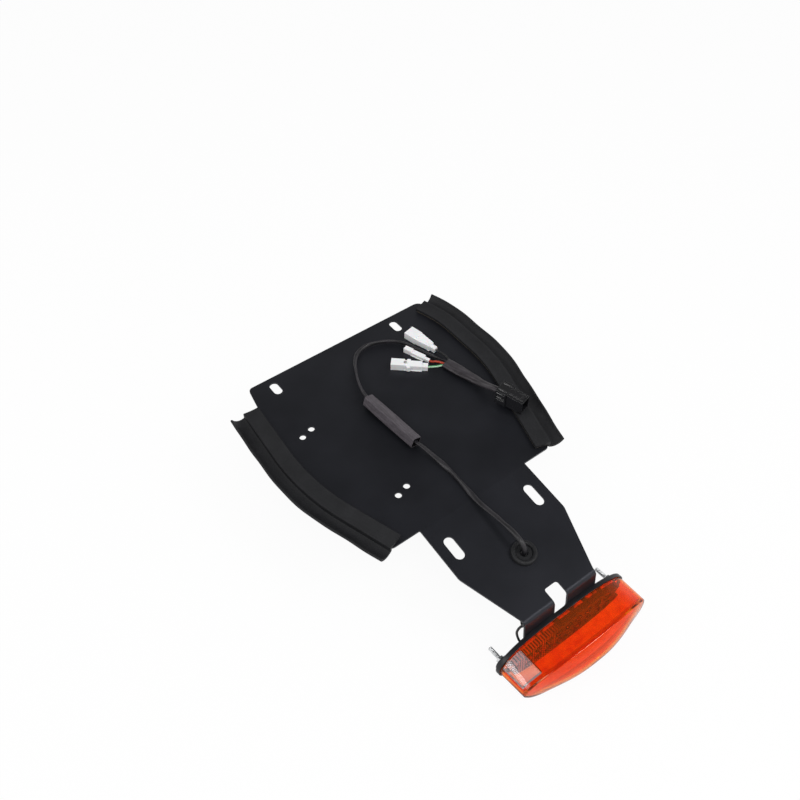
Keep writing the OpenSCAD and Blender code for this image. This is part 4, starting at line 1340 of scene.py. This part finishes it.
@dataclass
class Harness:
    """The wiring: leads, sleeves, single wires and connectors. Routes are in mm, as in the part's source."""

    shop: Workshop
    lead_r: float = 2.5
    wire_r: float = 1.1
    box_w: float = 11.0
    box_wall: float = 0.9
    box_l: float = 71.0
    box_at: tuple[float, float, float] = (-13.4, -73.0, 7.3)
    box_turn: float = 4.6
    box_roll: float = 21.0
    branch_w: float = 13.0
    branch_t: float = 5.0
    branch_wall: float = 0.5
    mouth_rows: int = 24
    left_plug: tuple[float, float, float] = (63.6, -71.0, 0.2)
    left_turn: float = 137.8
    right_plug: tuple[float, float, float] = (85.2, -56.6, 0.2)
    right_turn: float = 101.7
    eyelet_at: tuple[float, float, float] = (23.4, 0.0, 7.95)
    eyelet_rim: tuple = ((1.0, 0.0), (1.55, 0.0), (1.55, 0.35), (1.35, 0.5), (1.05, 0.5), (0.9, 0.3),
                         (0.9, 0.05), (0.02, 0.05))
    tab_stations: tuple = ((18.0, 5.7, 1.2, 6.2), (18.4, 6.1, 0.8, 6.6), (21.4, 6.1, 0.8, 6.6),
                           (21.8, 5.7, 1.2, 6.2))
    skirt_stations: tuple = ((6.4, 3.6, 1.0, 6.0), (8.0, 4.0, 0.6, 6.9), (24.4, 6.2, 0.4, 7.4),
                             (25.0, 6.2, 0.4, 7.6))
    side_bars: tuple = ((-7.9, 14.4), (-7.4, 8.5), (7.9, 14.4), (7.4, 8.5))
    top_bars: tuple = ((-4.6, 16.8), (4.6, 16.8))
    bar_x: float = 1.2
    bar_l: float = 9.6
    bar_radii: tuple[float, float] = (1.05, 0.9)
    bar_ring: float = 0.1
    block_at: tuple[float, float, float] = (94.0, -145.5, 4.6)
    block_turn: float = -74.6
    lead_length: float = 0.192
    loop_length: float = 0.276
    loop_bare: float = 196.0
    free_d: float = 0.005
    loop_half: float = 2.3
    crumple: float = 0.06
    crumple_from: float = 10.0
    crumple_run: float = 10.0
    lead_flat: float = 0.46
    loop_flat: float = 0.40
    flat_run: float = 14.0
    thinning: float = 0.4
    thin_run: float = 8.0
    roll_from: float = 26.0
    rolls: tuple = ((2.0, 24.0, 0.6), (0.7, 9.5, 0.0))
    box_slack: float = 0.2
    box_swell: float = 0.22
    box_ripple: float = 0.10
    box_wave: float = 6.1
    dent: float = 0.34
    dent_wave: float = 7.0
    dent_run: float = 12.0
    dent_end: float = 68.0
    groove: float = 0.5
    groove_at: float = -0.15
    groove_w: float = 0.22
    groove_run: float = 8.0
    lead_route: list = field(default_factory=lambda: [
        [0, -287.8, -10], [0, -288.2, -7], [0, -288.3, -3.6], [0, -286.8, 0.2], [0, -283.2, 3.4],
        [0, -277, 5.2], [0, -266.6, 5.6], [-0.4, -254, 5], [-1.4, -242, 4.2], [-2.2, -230, 3.4],
        [-2, -217, 2.9], [-1.4, -204, 2.7], [-1, -191, 2.7], [-1.4, -178, 3], [-2.6, -166, 4],
        [-4.6, -155, 5.6], [-7, -144, 7], [-8.6, -132, 7.3], [-9.6, -120, 7.3], [-10.6, -108, 7.3]])
    loop_route: list = field(default_factory=lambda: [
        [-10.6, -108, 7.3], [-11.6, -96, 7.3], [-12.5, -84, 7.3], [-12.6, -73, 7.1], [-10.6, -60, 6.3],
        [-6.4, -47, 5.4], [0, -34, 4.6], [7, -22, 3.9], [16, -12.5, 3.4], [28, -8.6, 3.1], [40, -10.4, 3],
        [51, -15.2, 3], [60, -22.4, 3], [66.4, -31.6, 3], [70.6, -43, 3], [74.6, -54, 3], [79, -66, 3.1],
        [83.7, -76.5, 3.2]])
    lamp_lead_route: list = field(default_factory=lambda: [
        [-45.5, -339.7, -37.7], [-45.6, -337.4, -38.1], [-46.2, -335.8, -34.6], [-47.3, -335.2, -29.4],
        [-47.7, -334.7, -25], [-46.6, -334.4, -21.8], [-43.8, -334.2, -20.6], [-41.2, -333.9, -22.6],
        [-39.6, -332.8, -26.4], [-37.6, -330, -27.6], [-34.6, -325.4, -25], [-30, -319, -22.2],
        [-24, -311.6, -19.6], [-16.6, -303.6, -17.6], [-9.2, -296.8, -16.6], [-3.2, -291, -15.8],
        [-0.4, -287.9, -13.6], [0, -287.8, -10]])
    branch_route: list = field(default_factory=lambda: [
        [82, -77.5, 3.2], [84, -86, 3.4], [86.2, -95.5, 3.6], [88.2, -105, 4.2], [89.8, -114, 5.2],
        [90.8, -122.4, 6.8], [91.3, -130.8, 9.6], [92.3, -139.2, 12.7], [93.9, -145.2, 13.1]])
    inside_branch: list = field(default_factory=lambda: [
        [85.2, -86, 3.4], [86.6, -95.5, 3.6], [88.2, -105, 4.2], [89.8, -114, 5.2], [90.8, -122.4, 6.8],
        [91.3, -130.8, 9.6], [92.3, -139.2, 12.7]])
    branch_widths: tuple = (1, 1.04, 1, 0.9, 0.8, 0.7, 0.62, 0.56, 0.52)
    branch_depths: tuple = (1, 1, 0.98, 0.96, 0.96, 0.98, 1, 1, 1)
    green_route: list = field(default_factory=lambda: [
        [63.7, -71.1, 3.4], [66.6, -73.7, 4.2], [70.4, -76.2, 4.4], [74, -77.2, 3.8], [76.9, -77.5, 3.2]])
    red_route: list = field(default_factory=lambda: [
        [71.1, -64.1, 1.9], [72.2, -67.1, 2.4], [73.9, -69.8, 4], [76.7, -73.7, 4.5], [80, -77.3, 3.4]])
    black_route: list = field(default_factory=lambda: [
        [85.2, -56.7, 3.2], [86, -60.6, 3.4], [87, -66, 4.2], [87.6, -71.4, 4], [87.4, -75.8, 3.2]])

    @staticmethod
    def lumps(a: Array, d: Array) -> Array:
        """0.5 sin(2 a + d / 9) + 0.3 sin(3 a - d / 5.3) + 0.35 sin(d / 3.1 + 1.3 sin a) - 0.5."""
        return (0.5 * np.sin(2 * a + d / 9.0) + 0.3 * np.sin(3 * a - d / 5.3)
                + 0.35 * np.sin(d / 3.1 + 1.3 * np.sin(a)) - 0.5)

    def tube(self, route: Sequence[Sequence[float]], reference: Sequence[float], half_w: float, half_t: float,
             crumple: float, steps: int = 9, columns: int = 26, thin_from: float = 1e3,
             flat: float = 0.0) -> tuple[Shape, Array]:
        """A soft tube along a route.

        Its section is (w cos a, t sin a), times 1 plus the crumple times the lumps at the turn a and the
        distance d, which set in over crumple_run past crumple_from. Over flat_run past roll_from a
        flattened tube loses its share of thickness, and it rolls from side to side as loose sleeving
        does: each of rolls is a sine's size, its length in mm and its start.

        Args:
            route: The route's points, in mm.
            reference: A direction that the route never runs along.
            half_w: Half its width, in mm.
            half_t: Half its thickness, in mm.
            crumple: How uneven it is, as a share of its size.
            steps: Steps between two points of the route.
            columns: Points round it.
            thin_from: The distance past which it loses the share thinning of its size over thin_run.
            flat: How much of its thickness it loses where it lies flattened.

        Returns:
            The tube, and its middle line in metres.
        """
        path = smooth_path(route, steps)
        across, up, along = way_frames(path, reference)
        a = ring_turns(columns)
        d = (along / MM)[:, None]
        uneven = 1 + crumple * risen(d, self.crumple_from, self.crumple_run) * self.lumps(a, d)
        uneven = uneven * (1 - self.thinning * risen(d, thin_from, self.thin_run))
        squash = flat * risen(d, self.roll_from, self.flat_run)
        roll = squash * sum(size * np.sin(d / length + start) for size, length, start in self.rolls)
        wide, thick = half_w * np.cos(a) * uneven, half_t * (1.0 - squash) * np.sin(a) * uneven
        section = np.stack([wide * np.cos(roll) - thick * np.sin(roll),
                            wide * np.sin(roll) + thick * np.cos(roll)], -1) * MM
        return Shape.of_rings(carry(path, across, up, section), wrap=with_distance(section, along)), path

    def branch(self) -> Shape:
        """The flat sleeve of the branch, hollow at its mouth.

        Its section is the superellipse |cos a|^0.8, |sin a|^0.8. Its thickness loses a dent, the size of a
        sine of the distance and the turn, which fades at both ends, and a bell-shaped groove along its top.
        The rings run from inside its mouth, out round the mouth's edge and on to the connector.

        Returns:
            The sleeve.
        """
        path = smooth_path(self.branch_route, 10)
        across, up, along = way_frames(path, (1.0, 0.0, 0.0))
        place = np.linspace(0, 1, len(path))
        knots = np.linspace(0, 1, len(self.branch_widths))
        half_w = self.branch_w / 2 * np.interp(place, knots, self.branch_widths)[:, None]
        half_t = self.branch_t / 2 * np.interp(place, knots, self.branch_depths)[:, None]
        a = ring_turns(36)
        cos, sin = superellipse(a, 0.8)
        d = (along / MM)[:, None]
        dent = (self.dent * np.sin(d / self.dent_wave + 2 * a) * risen(d, 0.0, self.dent_run)
                * risen(self.dent_end - d, 0.0, self.dent_run))
        bell = np.exp(-((cos - self.groove_at) / self.groove_w) ** 2)
        groove = self.groove * bell * (sin > 0) * risen(d, 0.0, self.groove_run)
        outer = np.stack([half_w * cos, (half_t - np.abs(dent) - groove) * sin], -1)
        inner = np.stack([(half_w - self.branch_wall) * cos, (half_t - self.branch_wall) * sin], -1)
        back = slice(self.mouth_rows - 1, None, -1)
        sections = np.vstack([inner[back], outer]) * MM
        path, across, up = (np.vstack([rows[back], rows]) for rows in (path, across, up))
        wrap = with_distance(sections, np.concatenate([along[back], along]))
        return Shape.of_rings(carry(path, across, up, sections), wrap=wrap)

    def box(self) -> Shape:
        """The square sleeve, open at both ends.

        Its section is the superellipse |cos a|^0.28, |sin a|^0.28, swollen between its ends by half a sine
        and rippled by a sine of the distance times cos 2a. The outer rings run from front to rear, and the
        inner ones back, and the last joins the first.

        Returns:
            The sleeve.
        """
        turned = placed(np.eye(3), (0.0, 0.0, 0.0), self.box_turn)
        c, s = math.cos(math.radians(self.box_roll)), math.sin(math.radians(self.box_roll))
        across, rearward, up = c * turned[0] - s * turned[2], -turned[1], s * turned[0] + c * turned[2]
        a = ring_turns(64)
        cos, sin = superellipse(a, 0.28)
        y = np.linspace(0, self.box_l, 48)
        swell = self.box_swell * np.sin(math.pi * y / self.box_l)[:, None]
        ripple = self.box_ripple * np.sin(y / self.box_wave)[:, None] * np.cos(2 * a)
        outer = self.box_w / 2 - self.box_slack + swell + ripple
        size = np.vstack([outer, (outer - self.box_wall)[::-1]])
        places = np.concatenate([y, y[::-1]])
        section = np.stack([size * cos, size * sin], -1)
        path = np.array(self.box_at) + places[:, None] * rearward
        grid = path[:, None] + section[..., :1] * across + section[..., 1:] * up
        return Shape.of_rings(grid * MM, (False, False), True, with_distance(section, places) * MM)

    @staticmethod
    def block(at: Sequence[float], turn: float, stations: Sequence[tuple]) -> Shape:
        """A straight detail on a connector.

        Args:
            at: The connector's place, in mm.
            turn: Its turn about Z, in degrees.
            stations: At each place along it, that place, half the width there, and the low and high sides.

        Returns:
            The detail.
        """
        x, half, low, high = np.array(stations).T
        corners = ((x, -half, low), (x, half, low), (x, half, high), (x, -half, high))
        rings = np.stack([np.stack(corner, -1) for corner in corners], 1)
        return Shape.of_rings(placed(rings, at, turn) * MM).outward()

    def bar(self, y: float, z: float, r: float) -> Shape:
        """A round-ended bar along the black connector.

        At each end, rings of radius r sin e stand r (1 - cos e) in, with e from bar_ring to a right angle.

        Args:
            y: Its place across the connector.
            z: Its height in the connector's frame.
            r: Its radius.

        Returns:
            The bar.
        """
        end = np.linspace(self.bar_ring, math.pi / 2, 6)
        run = r * (1 - np.cos(end))
        x = np.concatenate([run, self.bar_l - run[::-1]])[:, None]
        reach = r * np.sin(np.concatenate([end, end[::-1]]))[:, None]
        a = ring_turns(18)
        up, across = reach * np.sin(a), reach * np.cos(a)
        rings = np.stack([self.bar_x + np.broadcast_to(x, up.shape), y + across, z + up], -1)
        return Shape.of_rings(placed(rings, self.block_at, self.block_turn) * MM).outward()

    def details(self) -> list:
        """Makes the connectors' small parts: a tab, an eyelet, a tapered skirt and grip bars.

        Returns:
            Their pieces.
        """
        tab = self.block(self.left_plug, self.left_turn, self.tab_stations)
        skirt = self.block(self.right_plug, self.right_turn, self.skirt_stations)
        a = ring_turns(24)
        rings = np.array([np.stack([r * np.cos(a), r * np.sin(a), np.full_like(a, z)], -1)
                          for r, z in self.eyelet_rim])
        middle = placed(np.array(self.eyelet_at), self.left_plug, self.left_turn)
        eyelet = Shape.of_rings((middle + rings) * MM).outward()
        bars = [self.bar(y, z, r) for places, r in zip((self.side_bars, self.top_bars), self.bar_radii)
                for y, z in places]
        grips = functools.reduce(Shape.joined, bars)
        piece = self.shop.piece
        return [piece("left_connector_tab", tab, NYLON, "nylon_white", [], 20.0),
                piece("right_connector_skirt", skirt, NYLON, "nylon_white", [], 20.0),
                piece("left_connector_eyelet", eyelet, EYELET, "plated", []),
                piece("main_connector_grips", grips, BLACK_PLUG, "connector_black", [])]

    def build(self) -> None:
        """Makes the wiring and logs the lengths of its two free cords."""
        shop = self.shop
        lead, lead_path = self.tube(self.lead_route, (1, 0, 0), self.lead_r, self.lead_r, self.crumple,
                                    flat=self.lead_flat)
        loop, loop_path = self.tube(self.loop_route + self.inside_branch, (0, 0, 1), self.loop_half,
                                    self.lead_r, self.crumple, thin_from=self.loop_bare,
                                    flat=self.loop_flat)
        lamp_lead, _ = self.tube(self.lamp_lead_route, (0.3, 0.2, 0.93), self.wire_r, self.wire_r, 0.0,
                                 steps=8, columns=14)
        lead_piece = shop.piece("harness_lead_sheath", lead.outward(), SHEATH, "sleeve", ["harness_lead"])
        loop_piece = shop.piece("loop_lead_sheath", loop.outward(), LOOP_SHEATH, "sleeve", ["loop_lead"])
        shop.piece("lamp_lead_wire", lamp_lead.outward(), BLACK_WIRE, "wire_black", ["lamp_lead"])
        box = shop.piece("box_sleeve_tube", self.box().outward(), BOX_SLEEVE, "box_sleeve",
                         ["box_sleeve"], 50.0)
        branch = shop.piece("branch_sleeve_tube", self.branch().outward(), BRANCH_SLEEVE, "branch_sleeve",
                            ["branch_sleeve"], 60.0)
        for node, route, look, slot in (("green_wire", self.green_route, GREEN_WIRE, "wire_green"),
                                        ("red_wire", self.red_route, RED_WIRE, "wire_red"),
                                        ("black_wire", self.black_route, BLACK_WIRE, "wire_black")):
            wire, _ = self.tube(route, (0, 0, 1), self.wire_r, self.wire_r, 0.0, steps=10, columns=16)
            shop.piece(node + "_skin", wire.outward(), look, slot, [node])
        shells = [shop.softened(node, NYLON, "nylon_white", 0.22)
                  for node in ("left_white_connector", "slim_white_connector", "right_white_connector")]
        shells += [shop.softened(node, BLACK_PLUG, "connector_black", 0.2)
                   for node in ("main_connector", "main_connector_latch")]
        pins = [shop.dressed(node, TIN) for node in ("white_terminals", "main_terminals")]
        grommet = shop.dressed("cable_grommet", MOULDED_RUBBER)
        details = self.details()
        tuple(lead_path[0])
        tuple(loop_path[0])
        for name, path in (("harness lead", lead_path), ("loop lead", loop_path)):
            log.info("cord %s: %.4f m", name, np.linalg.norm(np.diff(path, axis=0), axis=1).sum())


ORANGE_LENS = LensPlastic()
CLEAR_WINDOW = ClearPlastic("clear_window", (0.95, 0.84, 0.86), (0.90, 0.72, 0.72), transmission=0.88,
                            roughness=0.04)
BLACK_BASE = Moulding("lamp_base_black", (0.008, 0.008, 0.0105), roughness=0.34, vary=0.3, specular=0.4)
HOUSING = RibbedHousing()
BOARD = Moulding("board_green", (0.03, 0.13, 0.05), roughness=0.5, vary=0.2)
LED = Moulding("led_dome", (0.05, 0.03, 0.025), roughness=0.15, vary=0.1, coat=0.3)
ZINC = Plating("bright_zinc", (0.78, 0.79, 0.80))
EYELET = Plating("eyelet_steel", (0.30, 0.29, 0.28), roughness=0.25)
TIN = Plating("terminal_tin", (0.70, 0.62, 0.42), roughness=0.25)
MOULDED_RUBBER = Rubber(name="moulded_rubber", pattern=Pattern.OBJECT, pale=(0.0115, 0.0118, 0.0132),
                        streak=0.002, roughness=0.5)
# Each sleeving's pale colour is the painted highlight on its folds' ridges.
SHEATH = Sleeving("lead_sheath", (0.0065, 0.0062, 0.0074), (0.021, 0.019, 0.023), roughness=0.36)
LOOP_SHEATH = Sleeving("loop_sheath", (0.008, 0.0075, 0.009), (0.027, 0.024, 0.030), roughness=0.34,
                       taped_from=0.150)
# Its hollow paints the box sleeve's inside near black: painted shade in its open ends.
BOX_SLEEVE = Sleeving("box_sleeving", (0.050, 0.043, 0.050), (0.086, 0.076, 0.087), roughness=0.5,
                      crease=0.0012, depth=0.00008, specular=0.4, hollow=0.0047)
BRANCH_SLEEVE = Sleeving("branch_sleeving", (0.018, 0.015, 0.018), (0.047, 0.041, 0.048), roughness=0.40,
                         crease=0.004, depth=0.0003)
GREEN_WIRE = Insulation("green_insulation", (0.08, 0.34, 0.13), (0.42, 0.63, 0.44), stripe=0.45)
RED_WIRE = Insulation("red_insulation", (0.42, 0.038, 0.010))
BLACK_WIRE = Insulation("black_insulation", (0.010, 0.010, 0.011))
NYLON = Moulding("nylon_white", (0.79, 0.79, 0.80), roughness=0.38, vary=0.04, subsurface=0.12)
BLACK_PLUG = Moulding("plug_black", (0.0066, 0.0066, 0.0078), roughness=0.16, vary=0.2, depth=0.000003,
                      specular=0.8, coat=0.4)
# The tape is painted a dark brown-grey, far darker than tan tape: painted shade for the shadow under each
# seal's band.
TAPE = Moulding("tape_dark_painted_shade", (0.10, 0.082, 0.060), roughness=0.6, vary=0.2)


@dataclass(frozen=True)
class SoftLamp:
    """A soft square lamp: its name, its place, the point that it faces, its side and its power."""

    name: str
    at: tuple[float, float, float]
    aim: tuple[float, float, float]
    size: float
    watts: float


@dataclass
class Studio:
    """The floor, the light and the camera."""

    position: tuple[float, float, float] = (-0.3201, -0.5352, 0.6446)
    direction: tuple[float, float, float] = (0.3932, 0.5246, -0.7551)
    lens_mm: float = 38.62
    floor_gap: float = 0.0005
    floor_half: float = 6.0
    floor_glow: float = 0.94
    daylight: float = 0.62
    sky: tuple = ((0.0, 0.9), (0.64, 1.0), (0.73, 0.45), (0.83, 0.15), (1.0, 0.12))
    lamps: tuple = (SoftLamp("key", (-0.5, -1.0, 1.6), (0.0, -0.16, 0.0), 0.9, 11.0),
                    SoftLamp("side", (-1.33, 0.24, 1.20), (0.09, -0.15, 0.02), 0.6, 6.0),
                    SoftLamp("rear", (0.60, -1.0, 1.15), (0.0, -0.33, -0.01), 0.5, 6.0))

    @staticmethod
    def stand(name: str, data: Any) -> bpy.types.Object:
        """Puts a camera, a lamp or a mesh into the scene.

        Args:
            name: Its object's name.
            data: The camera, lamp or mesh.

        Returns:
            The object.
        """
        made = bpy.data.objects.new(name, data)
        bpy.context.scene.collection.objects.link(made)
        return made

    @staticmethod
    def facing(direction: Vector) -> Euler:
        """The turn of a camera or lamp that looks along a direction."""
        return direction.to_track_quat("-Z", "Y").to_euler()

    def camera(self) -> None:
        """Sets the camera."""
        data = bpy.data.cameras.new("camera")
        data.lens = self.lens_mm
        data.sensor_width = 36.0
        data.clip_start = 0.01
        camera = self.stand("camera", data)
        camera.location = self.position
        camera.rotation_euler = self.facing(Vector(self.direction))
        bpy.context.scene.camera = camera

    @staticmethod
    def rays(p: Painter) -> list:
        """Tells what a ray is.

        Args:
            p: The painter of the material or surround that the ray meets.

        Returns:
            Three values, 1 for a ray from the camera, one mirrored and one let through.
        """
        outputs = p.node("ShaderNodeLightPath").outputs
        return [Value(p.tree, outputs[name])
                for name in ("Is Camera Ray", "Is Glossy Ray", "Is Transmission Ray")]

    def floor(self, z: float) -> None:
        """Makes a white floor that keeps a soft shadow where it is seen.

        Args:
            z: Its height.
        """
        p = Painter("floor_white")
        diffuse = p.node("ShaderNodeBsdfDiffuse", {}, {"Color": (0.80, 0.80, 0.80)})
        glow = p.node("ShaderNodeEmission", {}, {"Color": (1.0, 1.0, 1.0), "Strength": 1.0})
        camera, glossy, through = self.rays(p)
        seen = self.floor_glow * camera.larger(through).larger(glossy * 0.5)
        mixed = p.node("ShaderNodeMixShader", {}, {0: seen, 1: diffuse.outputs[0], 2: glow.outputs[0]})
        half = self.floor_half
        corners = [(-half, -half, z), (half, -half, z), (half, half, z), (-half, half, z)]
        mesh = bpy.data.meshes.new("floor")
        mesh.from_pydata(corners, [], [(0, 1, 2, 3)])
        mesh.materials.append(p.ended(mixed))
        self.stand("floor", mesh)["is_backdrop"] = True

    def world(self) -> None:
        """Makes a white surround that lights the object softly, and darker overhead where it is mirrored."""
        p = Painter("surround", True)
        camera, glossy, through = self.rays(p)
        way = p.node("ShaderNodeTexCoord").outputs["Generated"]
        height = Value(p.tree, p.node("ShaderNodeSeparateXYZ", {}, {0: way}).outputs[2])
        mirrored = p.level(0.5 + 0.5 * height, self.sky)
        strength = self.daylight * (1.0 - glossy) + glossy * mirrored
        strength = strength.larger(camera).larger(through)
        back = p.node("ShaderNodeBackground", {}, {"Color": (1.0, 1.0, 1.0), "Strength": strength})
        bpy.context.scene.world = p.ended(back, "ShaderNodeOutputWorld")

    def build(self, low_z: float) -> None:
        """Sets up the studio.

        Args:
            low_z: The object's lowest height.
        """
        bpy.context.scene.view_settings.view_transform = "Standard"
        self.camera()
        self.floor(low_z - self.floor_gap)
        self.world()
        for lamp in self.lamps:
            data = bpy.data.lights.new(lamp.name, "AREA")
            data.size = lamp.size
            data.energy = lamp.watts
            made = self.stand(lamp.name, data)
            made.location = lamp.at
            made.rotation_euler = self.facing(Vector(lamp.aim) - Vector(lamp.at))


def arc_run(r: float, turn: float) -> tuple[float, float]:
    """A seal's arc of a radius in mm and a turn in degrees, as its length and its turn."""
    return math.radians(turn) * r, turn


RIGHT_RUNS = ((12.0, 0.0), arc_run(110.0, 17.0), (38.0, 0.0), arc_run(160.0, 16.5), (94.8, 0.0))
LEFT_RUNS = ((64.7, 0.0), arc_run(225.0, 22.0), (54.0, 0.0))


def main() -> None:
    """Builds the pieces in order and dresses every node."""
    logging.basicConfig(level=logging.INFO, format="%(name)s: %(message)s")
    cad_box = [list(map(float, corner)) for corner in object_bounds()]
    Studio().build(cad_box[0][2])
    shop = Workshop()
    Harness(shop).build()
    Plate(shop).build()
    Seal(shop, 1, (106.2, 4.5), 17.0, RIGHT_RUNS).build("right_edge_seal")
    Seal(shop, -1, (103.6, -14.3), 3.5, LEFT_RUNS).build("left_edge_seal")
    for node in ("left_seal_tape", "right_seal_tape"):
        shop.dressed(node, TAPE)
    Lamp(shop, FoldedSheet()).build()


if __name__ == "__main__":
    main()
